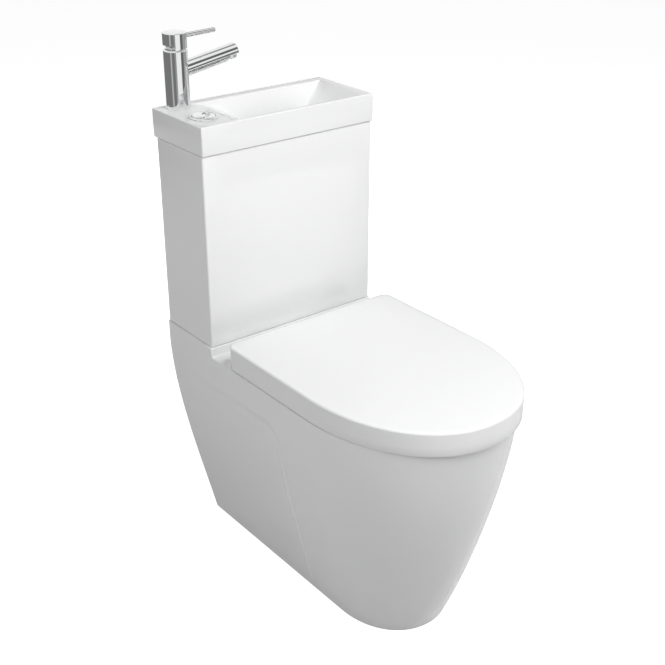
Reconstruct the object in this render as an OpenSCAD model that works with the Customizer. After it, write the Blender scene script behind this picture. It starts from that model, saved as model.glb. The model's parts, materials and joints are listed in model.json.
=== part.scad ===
// Close-coupled toilet with a hand basin on its cistern, a lever tap and a cable-worked dual flush.
// Millimetres. +Z is up, the back (the wall) faces +Y, and the origin lies on the floor at the middle.

/* [Overall] */
// Reach from the wall to the front of the lid
projection = 682; // [660:1:720]
// Play left between pieces that slide or are pushed together
slide_gap = 0.3; // [0.2:0.05:0.5]
// Radial play of a pin or shaft turning in its bore
pin_gap = 0.05; // [0.02:0.01:0.09]

/* [Pan] */
// Height of the rim above the floor
rim_h = 436.5; // [420:0.5:450]
// Rise of the rear deck above the rim
deck_rise = 17.5; // [12:0.5:24]
// Width at the rim
pan_top_w = 368; // [366:1:380]
// Width at the floor
pan_foot_w = 202; // [180:1:240]
// Width that steers the lower flank
pan_low_w = 254; // [230:1:290]
// Width that steers the upper flank
pan_high_w = 373; // [360:1:390]
// Length of the round front at the rim
nose_top = 242; // [225:1:260]
// Length of the round front at the floor
nose_foot = 125; // [100:1:150]
// Length that steers the lower front
nose_low = 177; // [160:1:195]
// Length that steers the upper front
nose_high = 229; // [215:1:240]
// How far the rim's front stands behind the lid's
rim_setback = 10; // [6:1:20]
// Squareness of the round front, where 2 is a true ellipse
nose_power = 2.12; // [2:0.02:2.4]
// Radius of the rear upright corners
pan_corner_r = 14; // [8:1:20]
// Radius of the top outer edge
pan_edge_r = 3; // [2:0.5:5]
// Thickness of the skirt
pan_wall = 12; // [9:0.5:15]
// Thickness of the rim's top
rim_t = 14; // [11:0.5:18]
// Depth of the sunk panel on each side
panel_depth = 3.5; // [2:0.5:6]
// Where the sunk panel starts, measured back from the middle
panel_y = -14; // [-40:1:20]
// Height of the panel's top at its front corner
panel_front_h = 392; // [370:1:405]
// Height of the panel's top at the wall
panel_back_h = 366; // [340:1:390]
// Softness of the panel's edge
panel_soft = 14; // [8:1:20]
// Width of the opening in the back, at its top
back_opening_w = 236; // [200:2:250]
// Width of that opening at the floor
back_opening_foot = 150; // [120:2:156]
// Height of the opening in the back
back_opening_h = 362; // [330:2:366]

/* [Bowl] */
// Width of the bowl at the rim
bowl_w = 262; // [240:2:280]
// Rim left in front of the bowl
bowl_front_rim = 48; // [44:1:60]
// Rim left between the bowl and the raised deck
bowl_back_rim = 98; // [94:1:120]
// Squareness of the bowl's outline
bowl_power = 2.25; // [2:0.05:2.5]
// Height of the sump's floor
sump_z = 145; // [140:1:155]
// Width of the sump
sump_w = 88; // [80:2:100]
// Length of the sump
sump_len = 120; // [110:2:135]
// How far the sump's back stands in front of the bowl's
sump_back = 44; // [38:1:50]
// Thickness of the bowl
bowl_wall = 10; // [8:0.5:12]

/* [Trapway] */
// Radius of the trapway
trap_r = 33; // [30:0.5:35]
// Thickness of the trapway
trap_wall = 9; // [7:0.5:11]
// Height of the trapway's way out, the usual height for a floor-standing pan
outlet_z = 180; // [175:1:190]
// Rise of the weir's middle above the sump's middle
weir_rise = 118; // [110:1:124]
// Outer radius of the outlet spigot
spigot_r = 51; // [50:0.5:55]
// Length of the outlet spigot
spigot_len = 48; // [40:1:60]
// Wall of the outlet spigot
spigot_wall = 8; // [6:0.5:10]
// How far the spigot stops short of the wall
spigot_gap = 11; // [5:1:20]

/* [Cistern] */
// How far the cistern's sides stand in from the basin's
cist_inset = 1.2; // [0.6:0.1:4]
// Depth
cist_d = 156.5; // [150:0.5:158]
// Height
cist_h = 351.4; // [330:0.2:370]
// Thickness of the pads and the strip that ceramic sits on
joint_t = 1.2; // [0.8:0.1:2]
// Thickness of the walls
cist_wall = 9; // [8:0.5:9]
// Thickness of the floor
cist_floor = 12; // [10:0.5:14]
// Radius of the front upright corners
cist_front_r = 3.5; // [2:0.5:6]
// Radius of the back upright corners
cist_back_r = 14; // [8:1:18]
// Distance between the two wall screws
wall_screw_span = 240; // [200:5:260]
// Radius of the wall screw holes
wall_screw_r = 4; // [3:0.25:5]
// Depth of the wall screws below the cistern's top
wall_screw_drop = 64; // [45:1:90]
// Width of the notch that lets the tap's pipes out of the back
pipe_notch_w = 44; // [30:2:50]
// Depth of that notch
pipe_notch_h = 40; // [30:2:60]

/* [Basin] */
// Width
basin_w = 365; // [364.8:0.1:367.8]
// Depth
basin_d = 160; // [159:0.5:164]
// Height of the rim block
basin_h = 50.2; // [46:0.2:56]
// Thickness of the tap deck
basin_deck_t = 12; // [10:0.5:14]
// Thickness of the skirt that sits on the cistern
basin_skirt = 10; // [8:0.5:10]
// Rim in front of the bowl
basin_front_rim = 10.2; // [9:0.2:14]
// Rim behind the bowl
basin_back_rim = 20; // [16:0.5:26]
// Rim at the right of the bowl
basin_end_rim = 15.5; // [13:0.5:22]
// Length of the tap deck at the left
tap_deck_len = 58; // [56:1:64]
// Depth of the bowl
basin_bowl_depth = 75; // [68:1:80]
// Thickness of the bowl
basin_bowl_wall = 8; // [6:0.5:9]
// Slope of the bowl's right end, from upright
basin_end_slope = 36; // [30:1:40]
// Length of the bowl's flat floor round the waste
basin_flat_len = 60; // [59:1:66]
// How far the bowl's front wall slopes back on its way down
basin_front_draft = 14; // [13:0.5:18]
// How far the bowl's back wall slopes forward on its way down
basin_back_draft = 7; // [4:0.5:10]
// Radius at the bottom of the bowl's long sides
basin_cove_r = 16; // [10:1:20]

/* [Seat and lid] */
// How far the lid's sides stand in from the rim's
lid_inset = 1; // [0:0.5:2]
// Length of the lid's round front
lid_nose = 245; // [230:1:260]
// Space between the lid's back edge and the cistern
lid_back_gap = 50; // [48:1:54]
// Radius of the lid's back corners
lid_corner_r = 18; // [12:1:24]
// Height of the seat and lid together above the rim
stack_h = 45.5; // [42:0.5:50]
// Gap between the rim and the lid's lower edge
lid_gap = 2; // [1.5:0.1:3]
// Thickness of the lid's top
lid_top_t = 6; // [4:0.5:8]
// Thickness of the lid's side
lid_side_t = 4.5; // [3.5:0.5:6]
// Radius of the lid's top edge, made as steps
lid_edge_r = 3; // [1:0.5:4]
// Gap between the lid's side and the seat
seat_side_gap = 3; // [2.5:0.5:5]
// Thickness of the seat
seat_t = 23; // [20:0.5:25]
// Height of the pads under the seat
seat_pad_h = 4; // [3:0.5:6]
// Width of the seat's opening
seat_hole_w = 216; // [200:2:230]
// Length of the seat's opening
seat_hole_len = 290; // [270:2:310]
// Distance between the two buffers on each side of the lid
buffer_pitch = 160; // [140:1:170]
// Width of the seat in front of its opening
seat_front = 78; // [70:1:90]
// Radius of the pads under the seat and under the lid
pad_r = 9; // [7:0.5:11]

/* [Hinge] */
// Distance between the two hinge bolts
hinge_span = 155; // [145:1:165]
// Distance of the hinge axis behind the lid's back edge
hinge_back = 14.5; // [13.5:0.5:17]
// Height of the hinge axis above the rim
hinge_rise = 16.5; // [16:0.5:19]
// Radius of the hinge pins
hinge_pin_r = 5; // [4:0.25:5.5]
// Radius of the dampers
damper_r = 8; // [7.5:0.25:8.5]
// Radius of the lugs round the hinge pins
lug_r = 9; // [8:0.25:9.5]
// Width of the fixed hinge block
hinge_block_w = 19; // [17:0.5:22]
// Width of each lug
lug_w = 11.5; // [9:0.5:13]
// Radius of the hinge bolts
hinge_bolt_r = 4; // [3:0.25:5]
// Radius of the holes for the hinge bolts
hinge_hole_r = 7; // [6:0.25:9]
// Length of the hinge bolts below the rim
hinge_bolt_len = 52; // [40:1:60]

/* [Coupling] */
// Distance from the bolts that hold the cistern to the pan, to the fill valve's middle
coupling_to_fill = 46; // [43:1:50]
// Radius of those bolts
coupling_bolt_r = 4; // [3:0.25:5]
// How far those bolts reach below the underside of the pan's deck
coupling_tail = 26; // [22:1:40]
// Height of their wing nuts
coupling_nut_h = 12; // [10:1:16]
// Radius of their holes in the ceramic
coupling_hole_r = 6; // [5.5:0.25:7]
// Radius of the recess for the soft seal in the pan
seal_recess_r = 50; // [48:0.5:54]
// Depth of that recess
seal_recess_h = 26; // [22:0.5:28]
// Radius of the flush way into the pan
flush_way_r = 36; // [32:0.5:38]

/* [Flush valve] */
// Radius of the valve's threaded tail
valve_tail_r = 31.5; // [29:0.5:33]
// Bore of the valve's tail
valve_bore_r = 24; // [20:0.5:26]
// Height of the valve's cage
valve_cage_h = 82; // [70:1:90]
// Radius of the valve's cage
valve_cage_r = 36; // [34:0.5:40]
// Radius of the overflow tube
overflow_r = 14; // [12:0.5:16]
// Height of the overflow tube's top above the cistern's floor
overflow_top = 250; // [220:2:262]
// Lift of the valve
valve_travel = 12; // [8:1:14]
// Radius of each pull cable
cable_r = 1.8; // [1.2:0.1:2]

/* [Fill valve] */
// Distance of the fill valve's middle from the cistern's right side
fill_from_side = 56.3; // [50:0.1:62]
// Radius of its half-inch threaded tail
fill_tail_r = 10.4; // [9.5:0.1:11]
// Length of that tail below the cistern's floor
fill_tail_len = 40; // [30:1:50]
// Radius of its riser
fill_riser_r = 11; // [10.5:0.5:12]
// Height of its head above the cistern's floor
fill_head_z = 185; // [170:1:200]
// Radius of the float
float_r = 28; // [24:1:31]
// Height of the float
float_h = 58; // [40:1:70]
// Travel of the float
float_travel = 10; // [6:1:12]

/* [Flush buttons] */
// Distance of the buttons' middle from the basin's left edge
button_from_left = 36.5; // [35.5:0.5:40]
// Distance of the buttons' middle from the wall
button_from_wall = 110; // [104:1:114]
// Radius of the ring round the buttons
bezel_r = 24.5; // [24:0.5:27]
// Height of that ring above the deck
bezel_h = 4.5; // [3:0.5:6]
// Radius of the barrel that passes through the deck
barrel_r = 22; // [21.5:0.25:22.5]
// Wall of the barrel
barrel_wall = 1.4; // [1.2:0.1:2]
// Length of the barrel below the deck's top
barrel_len = 58; // [50:1:62]
// Travel of the buttons
button_travel = 4; // [3:0.5:5]
// Thickness of the buttons
button_t = 5; // [4:0.5:7]
// Rise of the small button above the large one
half_rise = 1.6; // [0.5:0.1:2.5]
// Gap on each side of the line between the two buttons
split_gap = 0.4; // [0.3:0.05:0.8]

/* [Tap] */
// Distance of the tap's axis from the basin's left edge
tap_from_left = 38.5; // [36:0.5:44]
// Distance of the tap's axis from the wall
tap_from_wall = 26; // [26:0.5:32]
// Radius of the body
tap_r = 20.5; // [20.5:0.5:23.5]
// Height of the base ring
tap_ring_h = 2.5; // [2:0.5:5]
// How far the base ring stands out round the body
tap_ring_out = 1.25; // [0.5:0.25:2]
// Height of the body's top above the deck
tap_body_h = 100; // [96:0.5:110]
// Gap between the body and the handle
handle_gap = 2; // [2:0.1:3]
// Height of the handle
handle_h = 27; // [23:0.5:30]
// How high the handle's underside rises opposite the lever
handle_undercut = 6.5; // [4:0.25:7]
// Radius of the lever
lever_r = 4.25; // [3.5:0.25:5.5]
// How far the lever lifts, in degrees
handle_lift = 13; // [8:1:13]
// Reach of the lever from the tap's axis
lever_reach = 80; // [60:1:100]
// Upward tilt of the lever
lever_tilt = 2.4; // [0:0.2:6]
// Radius of the spout
spout_r = 13.6; // [12.8:0.1:14]
// Upward tilt of the spout
spout_tilt = 10; // [6:1:12]
// Reach of the spout along itself, from the tap's axis
spout_reach = 122; // [110:0.5:140]
// Length of the flat under the spout's end
spout_flat_len = 23; // [22:0.5:30]
// Depth of that flat below the spout's axis
spout_flat_drop = 2.5; // [2:0.25:4]
// Height above the deck at which the spout's axis meets the tap's
spout_root_h = 61.6; // [54:0.5:66]
// Radius of the aerator
aerator_r = 10.5; // [9.8:0.1:11.5]
// How far the aerator's middle lies from the spout's end
aerator_from_end = 10.5; // [10:0.25:12]
// How far the aerator stands out below the flat
aerator_drop = 7.4; // [6:0.2:10]
// Radius of the fixing stud
tap_stud_r = 3; // [2.5:0.25:3]
// Radius of the hole in the deck
tap_hole_r = 17.5; // [15.5:0.25:18]
// Radius of the threaded inlets
tap_inlet_r = 4.5; // [4:0.25:5]
// Radius of the ceramic disc cartridge
cartridge_r = 17.3; // [15:0.1:18]

/* [Waste] */
// Radius of the waste's flange
waste_flange_r = 28; // [26:0.5:29]
// Radius of the waste's tail
waste_tail_r = 20.5; // [18:0.5:21]
// Wall of the waste's tail
waste_wall = 3; // [2:0.25:4]
// Length of the waste's tail below the bowl
waste_tail_len = 44; // [35:1:60]

/* [Hidden] */
$fn = 96;

// Widths that line up with each other
cist_w = basin_w - 2 * cist_inset;
lid_w = pan_top_w - 2 * lid_inset;

// Places that several pieces share
wall_y = projection / 2;
front_y = -projection / 2;
deck_z = rim_h + deck_rise;
cist_z = deck_z + joint_t;
cist_top = cist_z + cist_h;
cist_front_y = wall_y - cist_d;
cist_mid_y = wall_y - cist_d / 2;
cist_floor_z = cist_z + cist_floor;
fill_x = cist_w / 2 - fill_from_side;
coupling_span = 2 * (fill_x - coupling_to_fill);
basin_z = cist_top + joint_t;
basin_top = basin_z + basin_h;
basin_front_y = wall_y - basin_d;
basin_left = -basin_w / 2;
basin_under_z = basin_top - basin_deck_t;
lid_top_z = rim_h + stack_h;
lid_curve_y = front_y + lid_nose;
lid_back_y = cist_front_y - lid_back_gap;
hinge_y = lid_back_y + hinge_back;
hinge_z = rim_h + hinge_rise;
pan_front_y = front_y + rim_setback;
pan_curve_y = pan_front_y + nose_top;
rim_under_z = rim_h - rim_t;
over = 1; // how far a cut runs past the surface it opens

function sign_of(v) = v < 0 ? -1 : 1;
function ease(t) = let (c = max(0, min(1, t))) c * c * (3 - 2 * c);
function bezier(p, t) = pow(1 - t, 3) * p[0] + 3 * pow(1 - t, 2) * t * p[1]
    + 3 * (1 - t) * t * t * p[2] + t * t * t * p[3];

// Outline of a shape with a round front, straight sides and a square back with round corners.
// It runs from the right side backwards and round to the front.
front_steps = 28;
corner_steps = 3;
back_steps = 8;
side_stops = [0, 0.08, 0.15, 0.18, 0.21, 0.3, 0.46, 0.64, 0.82, 1];
function side_y(stop, curve_y, back_y, r) = curve_y + stop * (back_y - r - curve_y);
function corner_point(half, back_y, r, side, a) =
    [side * (half - r + r * cos(a)), back_y - r + r * sin(a)];
function front_point(half, nose, curve_y, power, a) =
    [half * sign_of(cos(a)) * pow(abs(cos(a)), 2 / power), curve_y - nose * pow(abs(sin(a)), 2 / power)];
function d_outline(half, nose, curve_y, back_y, r, power) = concat(
    [for (s = side_stops) [half, side_y(s, curve_y, back_y, r)]],
    [for (k = [1:corner_steps]) corner_point(half, back_y, r, 1, 90 * k / corner_steps)],
    [for (k = [1:back_steps - 1]) [(half - r) * (1 - 2 * k / back_steps), back_y]],
    [for (k = [corner_steps:-1:1]) corner_point(half, back_y, r, -1, 90 * k / corner_steps)],
    [for (k = [len(side_stops) - 1:-1:0]) [-half, side_y(side_stops[k], curve_y, back_y, r)]],
    [for (k = [1:front_steps - 1]) front_point(half, nose, curve_y, power, 180 + 180 * k / front_steps)]
);

// A closed skin through a list of rings, each with the same number of points
module ring_skin(rings) {
    n = len(rings[0]);
    last = len(rings) - 1;
    polyhedron(
        points = [for (r = rings) for (p = r) p],
        faces = concat(
            [[for (j = [n - 1:-1:0]) j]],
            [for (i = [0:last - 1]) for (j = [0:n - 1]) for (half = [0, 1])
                let (a = i * n + j, b = i * n + (j + 1) % n, c = a + n, d = b + n)
                half == 0 ? [a, b, c] : [b, d, c]],
            [[for (j = [0:n - 1]) last * n + j]]
        )
    );
}

module tube(r_out, r_in, z0, z1) {
    difference() {
        translate([0, 0, z0]) cylinder(r = r_out, h = z1 - z0);
        translate([0, 0, z0 - over]) cylinder(r = r_in, h = z1 - z0 + 2 * over);
    }
}

module disc(r, z0, z1) {
    translate([0, 0, z0]) cylinder(r = r, h = z1 - z0);
}

module hex(r, z0, z1) {
    translate([0, 0, z0]) cylinder(r = r, h = z1 - z0, $fn = 6);
}

module box(x0, x1, y0, y1, z0, z1) {
    translate([x0, y0, z0]) cube([x1 - x0, y1 - y0, z1 - z0]);
}

// A straight round bar between two points of the plane x = 0
module bar_yz(p, q, r) {
    translate([0, p[0], p[1]])
        rotate([-atan2(q[0] - p[0], q[1] - p[1]), 0, 0])
            cylinder(r = r, h = norm(q - p));
}

// ---- Pan ----

pan_heights = [0, rim_h * 0.257, rim_h * 0.706, rim_h + 2];
function pan_half(t) = bezier([pan_foot_w, pan_low_w, pan_high_w, pan_top_w], t) / 2;
function pan_nose(t) = bezier([nose_foot, nose_low, nose_high, nose_top], t);
function panel_top(y) = panel_front_h + (panel_back_h - panel_front_h) * (y - panel_y) / (wall_y - panel_y);
function panel_sink(y, z) = panel_depth
    * ease((y - panel_y) / panel_soft + 0.5)
    * ease((panel_top(y) - z) / panel_soft + 0.5);

function pan_ring(t, inset) = d_outline(
    pan_half(t) - inset, pan_nose(t) - inset, pan_curve_y,
    wall_y - inset, max(pan_corner_r - inset, 2), nose_power);
function outer_ring(t) = let (z = bezier(pan_heights, t))
    [for (p = pan_ring(t, 0)) [p[0] - sign_of(p[0]) * min(abs(p[0]), panel_sink(p[1], z)), p[1], z]];
function top_ring(z, inset) = [for (p = pan_ring(1, inset)) [p[0], p[1], z]];
function inner_ring(t) = let (z = bezier(pan_heights, t) * rim_under_z / pan_heights[3])
    [for (p = pan_ring(t, pan_wall + panel_depth)) [p[0], p[1], z]];

bowl_front_y = pan_front_y + bowl_front_rim;
bowl_back_y = cist_front_y - bowl_back_rim;
sump_back_y = bowl_back_y - sump_back;
bowl_levels = [rim_h, rim_h - 106, sump_z + 105, sump_z];
bowl_halves = [bowl_w / 2, bowl_w / 2, bowl_w * 0.23, sump_w / 2];
bowl_fronts = [bowl_front_y, bowl_front_y, bowl_front_y + 142, sump_back_y - sump_len];
bowl_backs = [bowl_back_y, bowl_back_y, bowl_back_y - 30, sump_back_y];
bowl_mid_y = (bowl_front_y + bowl_back_y) / 2;
spokes = [for (p = pan_ring(1, 0)) atan2(p[1] - bowl_mid_y, p[0])];
function oval_r(a, b, angle) =
    pow(pow(abs(cos(angle)) / a, bowl_power) + pow(abs(sin(angle)) / b, bowl_power), -1 / bowl_power);
function bowl_ring(t, z, grow) = let (
        a = bezier(bowl_halves, t) + grow,
        f = bezier(bowl_fronts, t) - grow,
        k = bezier(bowl_backs, t) + grow)
    [for (s = spokes) let (r = oval_r(a, (k - f) / 2, s)) [r * cos(s), (k + f) / 2 + r * sin(s), z]];
function bowl_inside(t) = bowl_ring(t, bezier(bowl_levels, t), 0);
function bowl_outside(t) = let (top = rim_under_z, low = sump_z - bowl_wall)
    bowl_ring(t, low + (bezier(bowl_levels, t) - sump_z) * (top - low) / (rim_h - sump_z), bowl_wall);

skirt_steps = 26;
inner_steps = 9;
bowl_steps = 9;
module pan_skin() {
    ring_skin(concat(
        [for (k = [bowl_steps:-1:0]) bowl_inside(k / bowl_steps)],
        [bowl_ring(0, deck_z, 0)],
        [top_ring(deck_z, pan_edge_r)],
        [top_ring(deck_z - pan_edge_r * 0.3, pan_edge_r * 0.3)],
        [top_ring(deck_z - pan_edge_r, 0)],
        [for (k = [skirt_steps:-1:0]) outer_ring(k / skirt_steps)],
        [for (k = [0:inner_steps]) inner_ring(k / inner_steps)],
        [for (k = [0:bowl_steps]) bowl_outside(k / bowl_steps)]
    ));
}

// The trapway runs back from the sump, up over the weir and down to the way out
sump_mid_z = sump_z + trap_r;
trap_start = [sump_back_y - sump_len / 2, sump_mid_z];
trap_dip_back = 21;
trap_weir_back = 77;
trap_fall_back = 155;
trap_dip = [sump_back_y + trap_dip_back, sump_mid_z];
trap_weir = [sump_back_y + trap_weir_back, sump_mid_z + weir_rise];
trap_fall = [sump_back_y + trap_fall_back, outlet_z];
spigot_end_y = wall_y - spigot_gap;
module trapway(r) {
    bend_r = r + 1;
    bar_yz(trap_start, trap_dip, r);
    bar_yz(trap_dip, trap_weir, r);
    bar_yz(trap_weir, trap_fall, r);
    bar_yz(trap_fall, [spigot_end_y - spigot_len / 2, outlet_z], r);
    for (p = [trap_dip, trap_weir, trap_fall]) translate([0, p[0], p[1]]) sphere(r = bend_r);
}

spigot_shoulder = 10;
duct_half = seal_recess_r + 8;
duct_wall = 10;
duct_low = rim_under_z - 50;
duct_end_y = wall_y - pan_wall - 12;

// The pan is one casting. It is drawn as four pieces that meet face to face.
module bowl_block() ring_skin([for (k = [0:bowl_steps]) bowl_outside(k / bowl_steps)]);
module bowl_space() ring_skin([for (k = [0:bowl_steps]) bowl_inside(k / bowl_steps)]);
module deck_space() box(-pan_top_w, pan_top_w, cist_front_y - 1, wall_y + over, rim_under_z, deck_z + over);
module flush_space() box(-duct_half + duct_wall, duct_half - duct_wall,
    bowl_back_y - 20, duct_end_y - duct_wall, duct_low + duct_wall, rim_under_z);

// Rim and skirt
module pan() color("white") difference() {
    pan_skin();
    bowl_block();
    deck_space();
    // the rim is lower than the deck
    box(-pan_top_w, pan_top_w, front_y - 50, cist_front_y - 1, rim_h, deck_z + over);
    translate([0, wall_y + over, 0]) rotate([90, 0, 0]) linear_extrude(pan_wall + panel_depth + 6)
        polygon([[-back_opening_foot / 2, -over], [back_opening_foot / 2, -over],
            [back_opening_w / 2, back_opening_h], [-back_opening_w / 2, back_opening_h]]);
    for (side = [-1, 1])
        translate([side * hinge_span / 2, hinge_y, 0]) disc(hinge_hole_r, rim_under_z - 10, rim_h + over);
}

// Raised deck under the cistern, with the box that carries the flush to the bowl
module pan_deck() color("white") difference() {
    union() {
        intersection() {
            pan_skin();
            deck_space();
        }
        difference() {
            box(-duct_half, duct_half, bowl_back_y + 4, duct_end_y, duct_low, rim_under_z);
            bowl_block();
        }
        box(-duct_half, duct_half, cist_front_y - 1, duct_end_y, duct_low, rim_under_z + 6);
    }
    flush_space();
    translate([0, cist_mid_y, 0]) disc(seal_recess_r, deck_z - seal_recess_h, deck_z + over);
    translate([0, cist_mid_y, 0]) disc(flush_way_r, rim_under_z - over, deck_z);
    for (side = [-1, 1])
        translate([side * coupling_span / 2, cist_mid_y, 0])
            disc(coupling_hole_r, rim_under_z - 30, deck_z + over);
    translate([fill_x, cist_mid_y, 0]) disc(fill_tail_r + 14, rim_under_z - 30, deck_z + over);
}

module pan_bowl() color("white") difference() {
    bowl_block();
    bowl_space();
    flush_space();
    trapway(trap_r);
}

module pan_trapway() color("white") difference() {
    union() {
        trapway(trap_r + trap_wall);
        bar_yz([spigot_end_y - spigot_len, outlet_z], [spigot_end_y, outlet_z], spigot_r);
    }
    bowl_block();
    // it starts behind the bowl's own wall
    box(-100, 100, trap_start[0] - 100, sump_back_y, 0, rim_h);
    trapway(trap_r);
    bar_yz([spigot_end_y - spigot_len + spigot_shoulder, outlet_z], [spigot_end_y + over, outlet_z],
        spigot_r - spigot_wall);
}

// ---- Cistern and basin ----

// Upright corner arcs of a block, front corners then back corners, as one outline
function arc(cx, cy, r, a0, steps) = [for (k = [0:steps]) [cx + r * cos(a0 + 90 * k / steps),
    cy + r * sin(a0 + 90 * k / steps)]];
function block_outline(half, y0, y1, rf, rb) = concat(
    arc(half - rb, y1 - rb, rb, 0, 6), arc(-half + rb, y1 - rb, rb, 90, 6),
    arc(-half + rf, y0 + rf, rf, 180, 4), arc(half - rf, y0 + rf, rf, 270, 4));
module block(half, y0, y1, z0, z1, rf, rb) {
    translate([0, 0, z0]) linear_extrude(z1 - z0) polygon(block_outline(half, y0, y1, rf, rb));
}

module cistern() color("white") difference() {
    block(cist_w / 2, cist_front_y, wall_y, cist_z, cist_top, cist_front_r, cist_back_r);
    block(cist_w / 2 - cist_wall, cist_front_y + cist_wall, wall_y - cist_wall,
        cist_floor_z, cist_top + over, cist_front_r, cist_back_r - 4);
    translate([0, cist_mid_y, 0]) disc(valve_tail_r + 1, cist_z - over, cist_floor_z + over);
    translate([fill_x, cist_mid_y, 0]) disc(fill_tail_r + 0.6, cist_z - over, cist_floor_z + over);
    for (side = [-1, 1]) {
        translate([side * coupling_span / 2, cist_mid_y, 0])
            disc(coupling_hole_r, cist_z - over, cist_floor_z + over);
        translate([side * wall_screw_span / 2, wall_y + over, cist_top - wall_screw_drop])
            rotate([90, 0, 0]) cylinder(r = wall_screw_r, h = cist_wall + 2 * over);
    }
    box(tap_x - pipe_notch_w / 2, tap_x + pipe_notch_w / 2, wall_y - cist_wall - over, wall_y + over,
        cist_top - pipe_notch_h, cist_top + over);
}

strip_inset = 2;
module basin_strip() color("gray") difference() {
    block(cist_w / 2 - strip_inset, cist_front_y + strip_inset, wall_y - strip_inset, cist_top, basin_z,
        cist_front_r, cist_back_r);
    block(cist_w / 2 - cist_wall + strip_inset, cist_front_y + cist_wall - strip_inset,
        wall_y - cist_wall + strip_inset, cist_top - over, basin_z + over, cist_front_r, cist_back_r - 4);
}

pad_w = 56;
pad_x = 114;
pad_front = 6;
pad_back = 16;
module cistern_pads() color("gray") for (side = [-1, 1]) difference() {
    translate([side * pad_x, 0, 0])
        box(-pad_w / 2, pad_w / 2, cist_front_y + pad_front, wall_y - pad_back, deck_z, cist_z);
    translate([fill_x, cist_mid_y, 0]) disc(fill_tail_r + 16, deck_z - over, cist_z + over);
    translate([side * coupling_span / 2, cist_mid_y, 0])
        disc(coupling_hole_r, deck_z - over, cist_z + over);
}

// Bowl of the basin: a side view with its long ramp, cut by an end view with its coves
bowl_left_x = basin_left + tap_deck_len;
bowl_right_x = basin_w / 2 - basin_end_rim;
bowl_floor_z = basin_top - basin_bowl_depth;
flat_right_x = bowl_right_x - basin_bowl_depth * tan(basin_end_slope);
flat_left_x = flat_right_x - basin_flat_len;
bowl_y0 = basin_front_y + basin_front_rim;
bowl_y1 = wall_y - basin_back_rim;
bowl_play = 1;
ramp_steps = 14;
module bowl_side_view(grow) {
    // the right end's foot moves by the wall as it is measured square to the slope
    end_grow = grow / cos(basin_end_slope);
    polygon(concat(
        [for (k = [0:ramp_steps]) let (u = k / ramp_steps)
            [bowl_left_x - grow + u * (flat_left_x - bowl_left_x),
                basin_top - grow - basin_bowl_depth * (1 - cos(180 * u)) / 2]],
        [[flat_right_x + end_grow - grow * tan(basin_end_slope), bowl_floor_z - grow],
            [bowl_right_x + end_grow, basin_top],
            [bowl_right_x + end_grow, basin_top + over],
            [bowl_left_x - grow, basin_top + over]]));
}
module bowl_end_view(grow) {
    y0 = bowl_y0 - grow;
    y1 = bowl_y1 + grow;
    r = basin_cove_r + grow;
    z = bowl_floor_z - grow;
    polygon(concat(
        [[y1, basin_top + over], [y0, basin_top + over]],
        [for (k = [0:5]) let (a = 180 + 18 * k)
            [y0 + basin_front_draft + r + r * cos(a), z + r + r * sin(a)]],
        [for (k = [0:5]) let (a = 270 + 18 * k)
            [y1 - basin_back_draft - r + r * cos(a), z + r + r * sin(a)]]));
}
module basin_bowl(grow) intersection() {
    translate([0, bowl_y1 + grow + over, 0]) rotate([90, 0, 0])
        linear_extrude(bowl_y1 - bowl_y0 + 2 * grow + 2 * over) bowl_side_view(grow);
    translate([bowl_left_x - grow - over, 0, 0]) rotate([90, 0, 90])
        linear_extrude(bowl_right_x - bowl_left_x + 3 * grow + 2 * over) bowl_end_view(grow);
}

button_x = basin_left + button_from_left;
button_y = wall_y - button_from_wall;
tap_x = basin_left + tap_from_left;
tap_y = wall_y - tap_from_wall;
waste_x = (flat_left_x + flat_right_x) / 2;
waste_y = (bowl_y0 + bowl_y1) / 2;
module basin() color("white") difference() {
    union() {
        difference() {
            block(basin_w / 2, basin_front_y, wall_y, basin_z, basin_top, 2, 2);
            block(basin_w / 2 - basin_skirt, basin_front_y + basin_skirt, wall_y - basin_skirt,
                basin_z - over, basin_under_z, 2, 2);
        }
        intersection() {
            basin_bowl(basin_bowl_wall);
            union() {
                block(basin_w / 2 - 1, basin_front_y + 1, wall_y - 1, basin_z, basin_top - 2, 1, 1);
                // below the block the bowl hangs inside the cistern's walls
                block(cist_w / 2 - cist_wall - bowl_play, cist_front_y + cist_wall + bowl_play,
                    wall_y - cist_wall - bowl_play, cist_z, basin_z + over, cist_front_r, cist_back_r - 4);
            }
        }
    }
    basin_bowl(0);
    translate([tap_x, tap_y, 0]) disc(tap_hole_r, basin_under_z - over, basin_top + over);
    translate([button_x, button_y, 0]) disc(barrel_r + slide_gap, basin_under_z - over, basin_top + over);
    translate([waste_x, waste_y, 0])
        disc(waste_tail_r + 0.5, bowl_floor_z - basin_bowl_wall - over, bowl_floor_z + over);
}

// ---- Waste of the basin ----

waste_flange_t = 2.5;
waste_low_z = bowl_floor_z - basin_bowl_wall;
waste_washer_t = 3;
waste_nut_t = 9;
module at_waste() translate([waste_x, waste_y, 0]) children();
module waste_flange() color("silver") at_waste() difference() {
    union() {
        disc(waste_flange_r, bowl_floor_z, bowl_floor_z + waste_flange_t);
        disc(waste_tail_r, waste_low_z - waste_tail_len, bowl_floor_z + over);
    }
    disc(waste_tail_r - waste_wall, waste_low_z - waste_tail_len - over, bowl_floor_z);
    for (k = [0:5]) rotate(60 * k) translate([10.5, 0, 0]) disc(3.5, bowl_floor_z - over, basin_top);
    disc(3.5, bowl_floor_z - over, basin_top);
}
module waste_washer() color("dimgray") at_waste()
    tube(waste_tail_r + 8, waste_tail_r + pin_gap, waste_low_z - waste_washer_t, waste_low_z);
module waste_nut() color("silver") at_waste() difference() {
    hex(waste_tail_r + 9, waste_low_z - waste_washer_t - waste_nut_t, waste_low_z - waste_washer_t);
    disc(waste_tail_r + pin_gap, waste_low_z - 40, waste_low_z);
}

// ---- Lid and seat ----

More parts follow.
